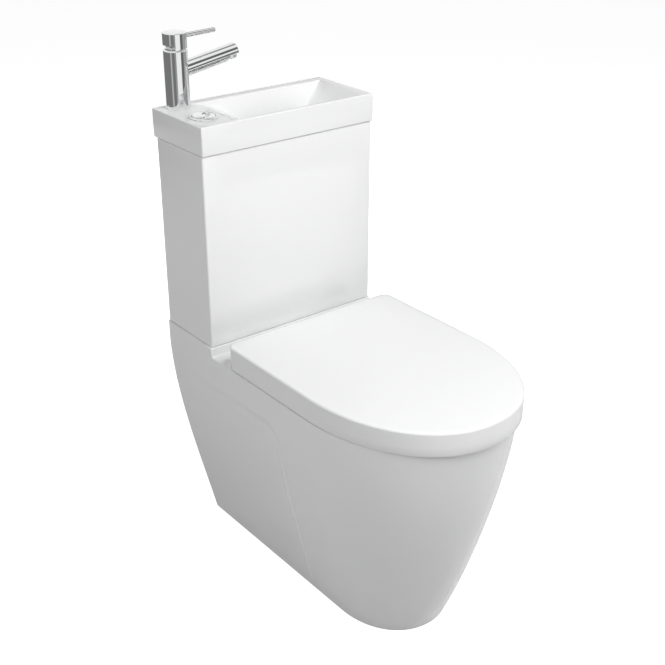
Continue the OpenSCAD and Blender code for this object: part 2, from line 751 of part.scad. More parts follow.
lid_low_z = rim_h + lid_gap;
lid_under_z = lid_top_z - lid_top_t;
lid_inner_half = lid_w / 2 - lid_side_t;
seat_half = lid_inner_half - seat_side_gap;
seat_low_z = rim_h + seat_pad_h;
seat_top_z = seat_low_z + seat_t;
seat_back_y = lid_back_y - lid_side_t - 7;
block_in_x = hinge_span / 2 - hinge_block_w / 2;
block_out_x = hinge_span / 2 + hinge_block_w / 2;
seat_corner_r = lid_corner_r - 8;
lug_play = 0.5;
lid_notch_top = hinge_z + damper_r + 4;

module lid_outline(inset) polygon(d_outline(lid_w / 2 - inset, lid_nose - inset, lid_curve_y,
    lid_back_y - inset, lid_corner_r - min(inset, lid_corner_r - 3), nose_power));
module hinge_rod(x0, x1, r) translate([x0, hinge_y, hinge_z]) rotate([0, 90, 0])
    cylinder(r = r, h = x1 - x0);

module lid() color("white") difference() {
    union() {
        difference() {
            union() {
                translate([0, 0, lid_low_z]) linear_extrude(stack_h - lid_gap - lid_edge_r) lid_outline(0);
                translate([0, 0, lid_top_z - lid_edge_r - over])
                    linear_extrude(lid_edge_r * 0.6 + over) lid_outline(lid_edge_r * 0.25);
                translate([0, 0, lid_top_z - lid_edge_r * 0.4 - over])
                    linear_extrude(lid_edge_r * 0.4 + over) lid_outline(lid_edge_r * 0.8);
            }
            translate([0, 0, lid_low_z - over]) linear_extrude(lid_under_z - lid_low_z + over)
                lid_outline(lid_side_t);
        }
        for (side = [-1, 1]) {
            x = side < 0 ? -block_in_x + lug_play : block_in_x - lug_play - lug_w;
            hinge_rod(x, x + lug_w, lug_r);
            box(x, x + lug_w, lid_back_y - lid_side_t, hinge_y, hinge_z - lug_r + 1, hinge_z + lug_r + 3);
        }
    }
    hinge_rod(-hinge_span, hinge_span, hinge_pin_r + pin_gap);
    // notches in the lid's back for the fixed blocks and the seat's lugs
    for (side = [-1, 1]) {
        w = hinge_block_w + lug_play * 3 + lug_w;
        x = side < 0 ? -block_in_x + lug_play - w : block_in_x - lug_play;
        box(x, x + w, lid_back_y - lid_side_t - over, lid_back_y + over, lid_low_z - over, lid_notch_top);
    }
}

seat_hole_front = front_y + seat_front;
seat_hole_mid = seat_hole_front + seat_hole_len / 2;
function seat_hole(power) = [for (k = [0:47]) let (a = 7.5 * k, r = pow(pow(abs(cos(a)) / (seat_hole_w / 2),
    power) + pow(abs(sin(a)) / (seat_hole_len / 2), power), -1 / power))
    [r * cos(a), seat_hole_mid + r * sin(a)]];
seat_nose = lid_nose - lid_side_t - seat_side_gap;
module seat() color("white") difference() {
    union() {
        translate([0, 0, seat_low_z]) linear_extrude(seat_t)
            polygon(d_outline(seat_half, seat_nose, lid_curve_y, seat_back_y, seat_corner_r, nose_power));
        for (side = [-1, 1]) {
            x = side < 0 ? -block_out_x - lug_play - lug_w : block_out_x + lug_play;
            hinge_rod(x, x + lug_w, lug_r);
            box(x, x + lug_w, seat_back_y - 4, hinge_y, hinge_z - lug_r + 1.5, hinge_z + lug_r - 2);
        }
    }
    translate([0, 0, seat_low_z - over]) linear_extrude(seat_t + 2 * over) polygon(seat_hole(2.2));
    hinge_rod(-hinge_span, hinge_span, hinge_pin_r + pin_gap);
}

pad_front_y = front_y + seat_front * 0.62;
pad_side_x = (seat_half + seat_hole_w / 2) / 2;
module pads_at(places, z0, z1) for (p = places) translate([p[0], p[1], 0]) disc(pad_r, z0, z1);
module lid_buffers() color("lightgray") pads_at(
    [for (s = [-1, 1]) for (y = [lid_curve_y, lid_curve_y + buffer_pitch]) [s * pad_side_x, y]],
    seat_top_z + slide_gap, lid_under_z);
module seat_buffers() color("lightgray") pads_at(
    concat([for (s = [-1, 1]) [s * pad_side_x, lid_curve_y + buffer_pitch]],
        [for (s = [-1, 1]) [s * pad_side_x * 0.5, pad_front_y]]),
    rim_h + slide_gap, seat_low_z);

// ---- Hinges ----

hinge_front = 12;
hinge_back_reach = 13;
hinge_block_top = hinge_z + damper_r + 3;
module hinge_block(side) color("silver") difference() {
    x0 = side < 0 ? -block_out_x : block_in_x;
    box(x0, x0 + hinge_block_w, hinge_y - hinge_front, hinge_y + hinge_back_reach,
        rim_h, hinge_block_top);
    hinge_rod(x0 + 2, x0 + hinge_block_w - 2, damper_r + pin_gap);
    hinge_rod(x0 - over, x0 + hinge_block_w + over, hinge_pin_r + pin_gap);
    translate([side * hinge_span / 2, hinge_y, 0]) disc(hinge_bolt_r + pin_gap, rim_h - over, hinge_z);
}
module hinge_blocks() for (side = [-1, 1]) hinge_block(side);
module hinge_pins() for (side = [-1, 1]) hinge_pin(side);
module dampers() for (side = [-1, 1]) damper(side);
module hinge_pin(side) color("silver") {
    reach = hinge_block_w / 2 + lug_play + lug_w;
    hinge_rod(side * hinge_span / 2 - reach, side * hinge_span / 2 + reach, hinge_pin_r);
}
module damper(side) color("dimgray") difference() {
    x0 = (side < 0 ? -block_out_x : block_in_x) + 2;
    hinge_rod(x0 + pin_gap, x0 + hinge_block_w - 4 - pin_gap, damper_r);
    hinge_rod(x0 - over, x0 + hinge_block_w, hinge_pin_r + pin_gap);
}

module at_hinges() for (side = [-1, 1]) translate([side * hinge_span / 2, hinge_y, 0]) children();
hinge_washer_t = 6;
hinge_nut_t = 12;
wing_reach = 17;
module hinge_studs() color("silver") at_hinges()
    disc(hinge_bolt_r, rim_h - hinge_bolt_len, hinge_z - damper_r - 1.5);
module hinge_washers() color("dimgray") at_hinges()
    tube(hinge_hole_r + 5, hinge_bolt_r + pin_gap, rim_under_z - hinge_washer_t, rim_under_z);
module hinge_nuts() color("lightgray") at_hinges() difference() {
    union() {
        disc(hinge_bolt_r + 5, rim_under_z - hinge_washer_t - hinge_nut_t, rim_under_z - hinge_washer_t);
        box(-wing_reach, wing_reach, -2, 2,
            rim_under_z - hinge_washer_t - hinge_nut_t + 1, rim_under_z - hinge_washer_t - 1);
    }
    disc(hinge_bolt_r + pin_gap, rim_under_z - 60, rim_under_z);
}

// ---- Bolts and seal between cistern and pan ----

module at_coupling() for (side = [-1, 1]) translate([side * coupling_span / 2, cist_mid_y, 0]) children();
coupling_washer_t = 3;
coupling_head_r = 10;
coupling_low_z = rim_under_z - coupling_tail;
module coupling_bolts() color("silver") at_coupling() {
    disc(coupling_bolt_r, coupling_low_z, cist_floor_z + coupling_washer_t + 1);
    hex(coupling_head_r, cist_floor_z + coupling_washer_t, cist_floor_z + coupling_washer_t + 6);
}
module coupling_washers() color("dimgray") at_coupling()
    tube(coupling_head_r + 2, coupling_bolt_r + pin_gap, cist_floor_z, cist_floor_z + coupling_washer_t);
module coupling_nuts() color("silver") at_coupling() difference() {
    union() {
        disc(coupling_bolt_r + 5, rim_under_z - coupling_nut_h, rim_under_z - 2);
        disc(coupling_hole_r + 5, rim_under_z - 2, rim_under_z);
        box(-2, 2, -wing_reach, wing_reach, rim_under_z - coupling_nut_h, rim_under_z - 4);
    }
    disc(coupling_bolt_r + pin_gap, coupling_low_z, rim_under_z + over);
}

valve_nut_t = 12;
seal_low_z = deck_z - seal_recess_h;
module at_valve() translate([0, cist_mid_y, 0]) children();
module coupling_seal() color("dimgray") at_valve()
    tube(seal_recess_r - 1, valve_tail_r + pin_gap, seal_low_z, cist_z - valve_nut_t);

// ---- Flush valve ----

valve_washer_t = 3;
valve_seat_z = cist_floor_z + valve_washer_t + 10;
cage_top = valve_seat_z + valve_cage_h;
cage_wall = 3;
window_w = 26;
cable_pitch = 6;
head_top = cage_top + 34 + valve_travel;
module flush_valve_base() color("white") at_valve() difference() {
    union() {
        disc(valve_tail_r, seal_low_z - 2, cist_floor_z + valve_washer_t + over);
        disc(valve_cage_r + 6, cist_floor_z + valve_washer_t, valve_seat_z - 4);
        disc(valve_bore_r + 4, valve_seat_z - 5, valve_seat_z);
    }
    disc(valve_bore_r, seal_low_z - 10, valve_seat_z + over);
}
module flush_valve_washer() color("dimgray") at_valve()
    tube(valve_cage_r + 6, valve_tail_r + pin_gap, cist_floor_z, cist_floor_z + valve_washer_t);
module flush_valve_nut() color("lightgray") at_valve() difference() {
    hex(valve_tail_r + 12, cist_z - valve_nut_t, cist_z);
    disc(valve_tail_r + pin_gap, cist_z - 30, cist_z + over);
}
// cage with four windows, a crown that guides the overflow tube and a plate for the cables
plate_x = -(overflow_r + 14);
module flush_valve_cage() color("lightblue") at_valve() difference() {
    union() {
        tube(valve_cage_r, valve_cage_r - cage_wall, valve_seat_z - 4, cage_top);
        tube(valve_cage_r, overflow_r + slide_gap, cage_top - 4, cage_top);
        tube(overflow_r + 4, overflow_r + slide_gap, cage_top - over, head_top);
        box(plate_x - 10, -overflow_r - 2, -12, 12, head_top - 5, head_top);
        box(overflow_r + 2, overflow_r + 14, -8, 8, cage_top - 1, cage_top + 3);
    }
    for (a = [45:90:315]) rotate(a)
        box(valve_cage_r - 12, valve_cage_r + 5, -window_w / 2, window_w / 2,
            valve_seat_z + 6, cage_top - 14);
    disc(overflow_r + slide_gap, cage_top - 10, head_top + over);
    for (y = [-cable_pitch, cable_pitch]) translate([plate_x - 3, y, 0])
        disc(cable_r + slide_gap, head_top - 10, head_top + over);
}
tube_top = cist_floor_z + overflow_top;
module overflow_tube() color("lightgray") at_valve() difference() {
    union() {
        disc(overflow_r, valve_seat_z + 4, tube_top);
        disc(valve_bore_r, valve_seat_z + 4, valve_seat_z + 8);
    }
    disc(overflow_r - 2, valve_seat_z - over, tube_top + over);
}
module valve_seal() color("firebrick") at_valve()
    tube(valve_bore_r + 4, overflow_r - 2, valve_seat_z + slide_gap, valve_seat_z + 4);
module half_flush_slider() color("steelblue") at_valve()
    box(overflow_r + 5, overflow_r + 10, -5, 5, cage_top + 3 + slide_gap, cage_top + 32);

// Two sheathed cables from the buttons' barrel to the plate on the valve's head
barrel_low_z = basin_top - barrel_len;
cable_end_x = plate_x - 3;
function cable_route(dx, dy, ey) = [
    [button_x + dx, button_y + dy, barrel_low_z],
    [button_x + dx, button_y + dy, barrel_low_z - 25],
    [button_x + dx + 6, button_y + dy + 2, barrel_low_z - 50],
    [button_x + dx + 25, button_y + dy + 6, barrel_low_z - 72],
    [cable_end_x - 62, cist_mid_y + ey - 8, barrel_low_z - 86],
    [cable_end_x - 34, cist_mid_y + ey - 3, barrel_low_z - 92],
    [cable_end_x - 12, cist_mid_y + ey, barrel_low_z - 104],
    [cable_end_x, cist_mid_y + ey, barrel_low_z - 124],
    [cable_end_x, cist_mid_y + ey, head_top]];
// a smooth line through the route's points
function knot(p, i) = p[max(0, min(len(p) - 1, i))];
function spline(p, i, t) = let (a = knot(p, i - 1), b = knot(p, i), c = knot(p, i + 1), d = knot(p, i + 2))
    0.5 * (2 * b + (c - a) * t + (2 * a - 5 * b + 4 * c - d) * t * t + (3 * b - a - 3 * c + d) * t * t * t);
cable_rings = 4;
function cable_line(p) = concat(
    [for (i = [0:len(p) - 2]) for (k = [0:cable_rings - 1]) spline(p, i, k / cable_rings)],
    [p[len(p) - 1]]);
function unit(v) = v / norm(v);
function cable_ring(line, i, r) = let (
        ahead = i == 0 || i == len(line) - 1 ? [0, 0, -1] : unit(line[i + 1] - line[i - 1]),
        u = unit(cross(ahead, [0, 1, 0])),
        v = cross(ahead, u))
    [for (k = [0:7]) line[i] + r * (cos(45 * k) * u + sin(45 * k) * v)];
module cable(route) {
    line = cable_line(route);
    ring_skin([for (i = [len(line) - 1:-1:0]) cable_ring(line, i, cable_r)]);
}
module flush_cables() color("black") {
    cable(cable_route(-9, -8, -cable_pitch));
    cable(cable_route(9, 8, cable_pitch));
}

// ---- Fill valve ----

module at_fill() translate([fill_x, cist_mid_y, 0]) children();
fill_flange_t = 4;
fill_washer_t = 3;
fill_nut_t = 9;
head_z = cist_floor_z + fill_head_z;
head_h = 34;
arm_pivot_x = -26;
arm_z = head_z + 12;
rod_x = -48;
float_top = head_z - 8 - float_travel;
module fill_valve_riser() color("white") at_fill() difference() {
    union() {
        disc(fill_tail_r, cist_z - fill_tail_len, cist_z - fill_nut_t - 2);
        disc(fill_tail_r - 1, cist_z - fill_tail_len + over, cist_z);
        disc(fill_tail_r, cist_z - fill_nut_t, cist_floor_z + fill_washer_t + over);
        disc(fill_tail_r + 8, cist_floor_z + fill_washer_t, cist_floor_z + fill_washer_t + fill_flange_t);
        disc(fill_riser_r, cist_floor_z + fill_washer_t, head_z);
    }
    disc(fill_tail_r - 3, cist_z - fill_tail_len - over, head_z + over);
}
module fill_valve_head() color("steelblue") at_fill() difference() {
    union() {
        disc(20, head_z, head_z + head_h);
        box(arm_pivot_x - 4, -12, -3, 3, arm_z - 5, arm_z + 5);
    }
    disc(fill_tail_r - 3, head_z - over, head_z + head_h - 12);
    translate([arm_pivot_x, 10, arm_z]) rotate([90, 0, 0]) cylinder(r = 2 + pin_gap, h = 20);
}
module fill_valve_nut() color("lightgray") at_fill() difference() {
    hex(fill_tail_r + 8, cist_z - fill_nut_t, cist_z);
    disc(fill_tail_r + pin_gap, cist_z - 30, cist_z + over);
}
module fill_valve_washer() color("dimgray") at_fill()
    tube(fill_tail_r + 8, fill_tail_r + pin_gap, cist_floor_z, cist_floor_z + fill_washer_t);
module fill_float() color("lightgray") at_fill() {
    difference() {
        union() {
            disc(float_r, float_top - float_h, float_top);
            box(rod_x - 4, -float_r + 3, -4, 4, float_top - 8, float_top - 2);
            translate([rod_x, 0, 0]) disc(2.5, float_top - 5, arm_z + 6);
        }
        disc(fill_riser_r + slide_gap, float_top - float_h - over, float_top + over);
        disc(float_r - 3, float_top - float_h - over, float_top - 8);
    }
    tube(fill_riser_r + 3, fill_riser_r + slide_gap, float_top - float_h, float_top - 7);
}
// fork that the float's rod pulls
module float_arm() color("white") at_fill() {
    for (side = [-1, 1]) {
        y = side < 0 ? -6 : 3 + slide_gap;
        box(rod_x - 5, arm_pivot_x + 4, y, y + 3 - slide_gap, arm_z - 3, arm_z + 3);
    }
    translate([arm_pivot_x, 6, arm_z]) rotate([90, 0, 0]) cylinder(r = 2, h = 12);
}

// ---- Flush buttons ----

module at_buttons() translate([button_x, button_y, 0]) children();
bore_r = barrel_r - barrel_wall;
bezel_top = basin_top + bezel_h;
button_top = bezel_top - 0.5;
button_low = button_top - button_t;
stem_low = barrel_low_z - button_travel - 1;
stem_r = 3.5;
full_at = [6.5, -9];
half_at = [-6.5, 9];
floor_t = 3;
button_r = bore_r - slide_gap;
split_turn = 35;
split_wave = 0.3;
module button_bezel() color("silver") at_buttons() difference() {
    union() {
        tube(bezel_r, bore_r, basin_top, bezel_top);
        tube(barrel_r, bore_r, barrel_low_z, basin_top + over);
        disc(barrel_r, barrel_low_z, barrel_low_z + floor_t);
    }
    for (p = [full_at, half_at]) translate([p[0], p[1], 0])
        disc(stem_r + slide_gap, barrel_low_z - over, barrel_low_z + floor_t + over);
}
module button_nut() color("lightgray") at_buttons() difference() {
    disc(barrel_r + 3.5, basin_under_z - 8, basin_under_z);
    disc(barrel_r + pin_gap, basin_under_z - 10, basin_under_z + over);
}
// S-shaped line between the two buttons, moved aside by a gap
module split_side(side, gap) rotate(split_turn) polygon(concat(
    [for (k = [-12:12]) let (x = barrel_r * k / 12)
        [x, side * gap + button_r * split_wave * sin(180 * x / button_r)]],
    [[barrel_r, side * barrel_r], [-barrel_r, side * barrel_r]]));
module button_plan(side) intersection() {
    circle(r = button_r);
    split_side(side, split_gap);
}
module button_full() color("silver") at_buttons() {
    translate([0, 0, button_low]) linear_extrude(button_t) button_plan(-1);
    translate([full_at[0], full_at[1], 0]) disc(stem_r, stem_low, button_low + over);
}
module button_half() color("silver") at_buttons() {
    translate([0, 0, button_low]) linear_extrude(button_t + half_rise) button_plan(1);
    translate([half_at[0], half_at[1], 0]) disc(stem_r, stem_low, button_low + over);
}
module button_spring(p) color("gray") at_buttons() translate([p[0], p[1], 0])
    tube(stem_r + 1.8, stem_r + 0.6, barrel_low_z + floor_t, button_low);
module button_spring_full() button_spring(full_at);
module button_spring_half() button_spring(half_at);

// ---- Tap ----

module at_tap() translate([tap_x, tap_y, basin_top]) children();
pivot_h = tap_body_h - 14.5;
dome_r = 24.3;
dome_gap = 0.5;
handle_low = tap_body_h + handle_gap;
handle_top = handle_low + handle_h;
cartridge_low = tap_body_h - 44;
cartridge_top = tap_body_h - 8;
yoke_low = pivot_h - 6;
module tap_base_ring() color("silver") at_tap() tube(tap_r + tap_ring_out, tap_r - 4, 0, tap_ring_h);
// holes of the body: the stud in the middle, an inlet on each side and a chamber for the cartridge
inlet_out = tap_inlet_r + 6;
inlet_depth = 22;
way_r = 2.5;
module along_spout() rotate([0, 90 - spout_tilt, 0]) children();
module tap_body() color("silver") at_tap() difference() {
    disc(tap_r, tap_ring_h, tap_body_h);
    disc(cartridge_r + pin_gap, cartridge_low, tap_body_h + over);
    disc(tap_stud_r + pin_gap, 0, 20);
    for (side = [-1, 1]) translate([side * inlet_out, 0, 0]) disc(tap_inlet_r, 0, tap_ring_h + inlet_depth);
    for (side = [-1, 1]) translate([side * inlet_out, 0, 0]) disc(way_r, 0, cartridge_low + over);
    // way to the spout
    translate([0, 0, spout_root_h]) along_spout() cylinder(r = 8 + pin_gap, h = tap_r * 2);
}
spout_bore = spout_r - 2.4;
flat_from = spout_reach - spout_flat_len;
neck_r = 8;
aerator_at = spout_reach - aerator_from_end;
module tap_spout() color("silver") at_tap() difference() {
    union() {
        difference() {
            translate([0, 0, spout_root_h]) along_spout() cylinder(r = spout_r, h = spout_reach);
            disc(tap_r + pin_gap, -50, tap_body_h + 50);
        }
        translate([0, 0, spout_root_h]) along_spout() translate([0, 0, cartridge_r + 2])
            cylinder(r = 8, h = 11);
    }
    translate([0, 0, spout_root_h]) along_spout() {
        translate([0, 0, cartridge_r - 3]) cylinder(r = 6, h = 30);
        // wide way, and a narrow one over the flat
        translate([0, 0, tap_r + 8]) cylinder(r = spout_bore, h = flat_from - tap_r - 11);
        translate([-3, 0, flat_from - 5]) cylinder(r = 2, h = aerator_at - flat_from + 5);
        translate([0, 0, aerator_at]) rotate([0, 90, 0]) disc(neck_r + pin_gap, -3, spout_r);
        translate([0, 0, flat_from]) box(spout_flat_drop, spout_r + 1, -spout_r - 1, spout_r + 1,
            0, spout_flat_len + 1);
    }
}
module at_aerator() at_tap() translate([0, 0, spout_root_h]) along_spout() translate([0, 0, aerator_at])
    rotate([0, 90, 0]) children();
aerator_wall = 1.6;
module aerator_shell() color("silver") at_aerator() {
    tube(aerator_r, aerator_r - aerator_wall, spout_flat_drop + 2, spout_flat_drop + aerator_drop);
    tube(aerator_r, neck_r - aerator_wall, spout_flat_drop + pin_gap, spout_flat_drop + 2);
    tube(neck_r, neck_r - aerator_wall, 0, spout_flat_drop + 2);
}
module aerator_insert() color("gray") at_aerator() difference() {
    disc(aerator_r - aerator_wall - pin_gap, spout_flat_drop + 2 + pin_gap, spout_flat_drop + aerator_drop - 1.2);
    for (a = [0:60:300]) rotate(a) translate([5.2, 0, 0]) disc(1.6, 0, 30);
    disc(1.6, 0, 30);
}
module cartridge() color("lightgray") at_tap() difference() {
    disc(cartridge_r, cartridge_low, cartridge_top);
    disc(9, yoke_low, cartridge_top + over);
    for (side = [-1, 1]) translate([side * inlet_out, 0, 0])
        disc(way_r, cartridge_low - over, cartridge_low + 12);
    translate([0, -10, 0]) disc(3, cartridge_low - over, cartridge_low + 12);
}
module cartridge_nut() color("gold") at_tap()
    tube(cartridge_r, 11.5, cartridge_top, tap_body_h - 2.5);
module cartridge_yoke() color("white") at_tap() tube(9 - pin_gap, 5.6, yoke_low + pin_gap, cartridge_top);
module tap_dome() color("silver") at_tap() difference() {
    intersection() {
        translate([0, 0, pivot_h]) sphere(r = dome_r);
        disc(cartridge_r - pin_gap, tap_body_h - 2.5, tap_body_h + 8);
    }
    disc(11, 0, tap_body_h + 40);
}
lever_h = handle_top - 9;
stem_top = lever_h + 1.4;
module cartridge_stem() color("gray") at_tap() {
    translate([0, 0, pivot_h]) sphere(r = 5);
    disc(3.5, pivot_h, stem_top);
}
// The handle's underside is cut away opposite the lever, so that the lever can be lifted
undercut_from = 4;
undercut_step = 8;
module along_lever() translate([0, 0, lever_h]) rotate([0, 90 - lever_tilt, 0]) children();
module tap_handle() color("silver") at_tap() difference() {
    disc(tap_r, handle_low, handle_top);
    translate([0, 0, pivot_h]) sphere(r = dome_r + dome_gap);
    disc(3.5 + pin_gap, pivot_h, stem_top + pin_gap);
    translate([-undercut_from, 0, handle_low]) rotate([0, handle_lift + 0.8, 0])
        box(-60, 0, -40, 40, -30, 0);
    translate([0, 0, handle_low]) rotate([90, 0, 0]) linear_extrude(80, center = true) polygon([
        [-undercut_step, -over], [-undercut_step, 0], [-undercut_step - 5, handle_undercut],
        [-60, handle_undercut], [-60, -over]]);
    along_lever() translate([0, 0, tap_r - 12]) cylinder(r = lever_r + pin_gap, h = 20);
    translate([0, 0, lever_h]) rotate([-90, 0, 0]) cylinder(r = 2 + pin_gap, h = 40);
}
module tap_lever() color("silver") at_tap() along_lever() translate([0, 0, tap_r - 12 + pin_gap])
    cylinder(r = lever_r, h = lever_reach - tap_r + 12);
module handle_screw() color("gray") at_tap() translate([0, 3.5 + pin_gap, lever_h]) rotate([-90, 0, 0])
    cylinder(r = 2, h = tap_r - 8);
stud_len = 62;
fixing_t = 4;
module tap_stud() color("silver") at_tap() disc(tap_stud_r, 16 - stud_len, 19);
// brass plate and nut that pull the tap down on to the deck
module tap_fixing() color("gold") at_tap() difference() {
    union() {
        difference() {
            disc(tap_hole_r - 3, -basin_deck_t - fixing_t, -basin_deck_t);
            for (side = [-1, 1]) translate([side * inlet_out, 0, 0])
                disc(tap_inlet_r + 0.9, -basin_deck_t - fixing_t - over, -basin_deck_t + over);
        }
        box(-tap_hole_r + 6, tap_hole_r - 6, -tap_hole_r - 8, -tap_hole_r + 6,
            -basin_deck_t - fixing_t, -basin_deck_t);
        rotate(30) hex(tap_stud_r + 2.4, -basin_deck_t - fixing_t - 8, -basin_deck_t - fixing_t);
    }
    disc(tap_stud_r + pin_gap, -basin_deck_t - 30, 0);
}

pan();
pan_deck();
pan_bowl();
pan_trapway();
cistern();
basin();
basin_strip();
cistern_pads();
lid();
seat();
lid_buffers();
seat_buffers();
hinge_blocks();
hinge_pins();
dampers();
hinge_studs();
hinge_washers();
hinge_nuts();
coupling_bolts();
coupling_washers();
coupling_nuts();
coupling_seal();
flush_valve_base();
flush_valve_washer();
flush_valve_nut();
flush_valve_cage();
overflow_tube();
valve_seal();
half_flush_slider();
flush_cables();
fill_valve_riser();
fill_valve_head();
fill_valve_nut();
fill_valve_washer();
fill_float();
float_arm();
button_bezel();
button_nut();
button_full();
button_half();
button_spring_full();
button_spring_half();
waste_flange();
waste_washer();
waste_nut();
tap_base_ring();
tap_body();
tap_spout();
aerator_shell();
aerator_insert();
cartridge();
cartridge_nut();
cartridge_yoke();
cartridge_stem();
tap_dome();
tap_handle();
tap_lever();
handle_screw();
tap_stud();
tap_fixing();
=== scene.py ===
import bmesh
import bpy
import json
import math
from math import cos, sin, radians
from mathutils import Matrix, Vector


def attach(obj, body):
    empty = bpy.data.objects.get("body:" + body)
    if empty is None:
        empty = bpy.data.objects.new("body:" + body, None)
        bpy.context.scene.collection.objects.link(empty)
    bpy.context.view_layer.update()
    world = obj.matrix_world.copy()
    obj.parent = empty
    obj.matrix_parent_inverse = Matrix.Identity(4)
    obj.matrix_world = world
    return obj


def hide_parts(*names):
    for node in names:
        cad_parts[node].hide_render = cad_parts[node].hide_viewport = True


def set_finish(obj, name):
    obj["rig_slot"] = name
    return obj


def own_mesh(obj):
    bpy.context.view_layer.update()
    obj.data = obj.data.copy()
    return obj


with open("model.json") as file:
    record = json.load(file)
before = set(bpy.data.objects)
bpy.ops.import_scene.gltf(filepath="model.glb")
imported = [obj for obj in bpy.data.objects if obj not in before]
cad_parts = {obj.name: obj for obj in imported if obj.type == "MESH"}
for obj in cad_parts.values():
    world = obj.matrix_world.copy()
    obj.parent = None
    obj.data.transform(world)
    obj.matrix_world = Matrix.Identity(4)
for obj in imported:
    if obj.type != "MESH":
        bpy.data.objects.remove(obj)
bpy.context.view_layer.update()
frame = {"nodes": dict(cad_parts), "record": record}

# Shapes are worked out in millimetres and scaled to metres where a mesh is made. The front faces
# negative y, the wall behind the toilet is at y = WALL, and the floor is at z = 0.
MM = 1000  # millimetres in a metre

# ---------------------------------------------------------------- tools for making pieces


def into_scene(name, data):
    """An object that holds a mesh, a light or a camera, linked into the scene."""
    thing = bpy.data.objects.new(name, data)
    bpy.context.collection.objects.link(thing)
    return thing


def pick(piece):
    bpy.ops.object.select_all(action="DESELECT")
    piece.select_set(True)
    bpy.context.view_layer.objects.active = piece


def primitive(maker, **values):
    """A fresh object from one of Blender's primitives."""
    bpy.ops.object.select_all(action="DESELECT")
    maker(**values)
    return bpy.context.object


def settle(piece, name):
    """Puts an object's place, turn and size into its mesh, and names both."""
    pick(piece)
    bpy.ops.object.transform_apply(location=True, rotation=True, scale=True)
    piece.name = name
    piece.data.name = name
    return piece


def tipped(piece, tip, place):
    """Turns a piece about the y axis by an angle in degrees, and then moves it to a place."""
    piece.rotation_euler = (0, radians(tip), 0)
    piece.location = Vector(place) / MM
    return settle(piece, piece.name)


def brick(name, x0, x1, y0, y1, z0, z1):
    """A block between two corners."""
    middle = ((x0 + x1) / (2 * MM), (y0 + y1) / (2 * MM), (z0 + z1) / (2 * MM))
    piece = primitive(bpy.ops.mesh.primitive_cube_add, size=1 / MM, location=middle)
    piece.scale = (x1 - x0, y1 - y0, z1 - z0)
    return settle(piece, name)


def drum(name, radius, length, base, lean=(0, 0, 0), sides=96):
    """A round bar that stands on a point and leans by three angles in degrees."""
    piece = primitive(bpy.ops.mesh.primitive_cylinder_add, vertices=sides, radius=radius / MM,
                      depth=length / MM)
    piece.rotation_euler = [radians(angle) for angle in lean]
    bpy.context.view_layer.update()
    along = piece.matrix_world.to_3x3() @ Vector((0, 0, 1))
    piece.location = Vector(base) / MM + along * length / (2 * MM)
    return settle(piece, name)


def ball(name, radius, centre, stretch=(1, 1, 1), turn=0, segments=48):
    """A ball, stretched along its own axes and then turned about z by an angle in degrees."""
    piece = primitive(bpy.ops.mesh.primitive_uv_sphere_add, segments=segments,
                      ring_count=segments // 2, radius=radius / MM,
                      location=Vector(centre) / MM)
    piece.scale = stretch
    piece.rotation_euler = (0, 0, radians(turn))
    return settle(piece, name)


def use(piece, kind, **values):
    """Adds a modifier and applies it."""
    step = piece.modifiers.new("step", kind)
    for key, value in values.items():
        setattr(step, key, value)
    pick(piece)
    bpy.ops.object.modifier_apply(modifier=step.name)


def combined(piece, operation, tools):
    """Works a piece with other pieces, which are used up."""
    for tool in tools:
        use(piece, "BOOLEAN", operation=operation, solver="EXACT", object=tool)
        bpy.data.objects.remove(tool)
    return piece


def cut_by(piece, *tools):
    return combined(piece, "DIFFERENCE", tools)


def fused(piece, *tools):
    return combined(piece, "UNION", tools)


def trimmed_to(piece, tool):
    return combined(piece, "INTERSECT", [tool])


def joined(first, *others):
    """Several meshes in one object, which keeps the first one's name."""
    pick(first)
    for other in others:
        other.select_set(True)
    bpy.ops.object.join()
    return first


def soften(piece, width, segments=3, angle=40):
    """Rounds the edges that turn by more than an angle in degrees."""
    use(piece, "BEVEL", width=width / MM, segments=segments, limit_method="ANGLE",
        angle_limit=radians(angle), use_clamp_overlap=True, miter_outer="MITER_ARC")


def round_along(piece, axis, width, segments, where=lambda end: True):
    """Rounds the edges that run along an axis and have their first end where a test says."""
    pick(piece)
    bpy.ops.object.mode_set(mode="EDIT")
    bpy.ops.mesh.select_mode(type="EDGE")
    bpy.ops.mesh.select_all(action="DESELECT")
    bpy.ops.object.mode_set(mode="OBJECT")
    for edge in piece.data.edges:
        a, b = (piece.data.vertices[i].co * MM for i in edge.vertices)
        edge.select = abs(getattr(a, axis) - getattr(b, axis)) > 1 and where(a)
    bpy.ops.object.mode_set(mode="EDIT")
    bpy.ops.mesh.bevel(offset=width / MM, segments=segments, affect="EDGES")
    bpy.ops.object.mode_set(mode="OBJECT")


def smooth(piece, angle=32):
    """Smooth shading over the edges that turn by less than an angle in degrees."""
    pick(piece)
    bpy.ops.object.shade_smooth_by_angle(angle=radians(angle))
    return piece


WELD = 1e-6  # metres: points nearer than this are one


def loft(name, rings, endless=False):
    """A closed skin through rings of points that have the same count.

    The first and last rings are capped, or joined to each other if the skin is endless.
    """
    count = len(rings[0])
    points = [Vector(p) / MM for ring in rings for p in ring]
    faces = []
    for i in range(len(rings) if endless else len(rings) - 1):
        for j in range(count):
            a, b = i * count + j, i * count + (j + 1) % count
            c, d = (a + count) % len(points), (b + count) % len(points)
            faces.append((a, b, d, c))
    if not endless:
        faces.append(tuple(range(count)))
        faces.append(tuple(reversed(range(len(points) - count, len(points)))))
    mesh = bpy.data.meshes.new(name)
    mesh.from_pydata(points, [], faces)
    shape = bmesh.new()
    shape.from_mesh(mesh)
    bmesh.ops.remove_doubles(shape, verts=shape.verts, dist=WELD)
    bmesh.ops.recalc_face_normals(shape, faces=shape.faces)
    shape.to_mesh(mesh)
    shape.free()
    return into_scene(name, mesh)


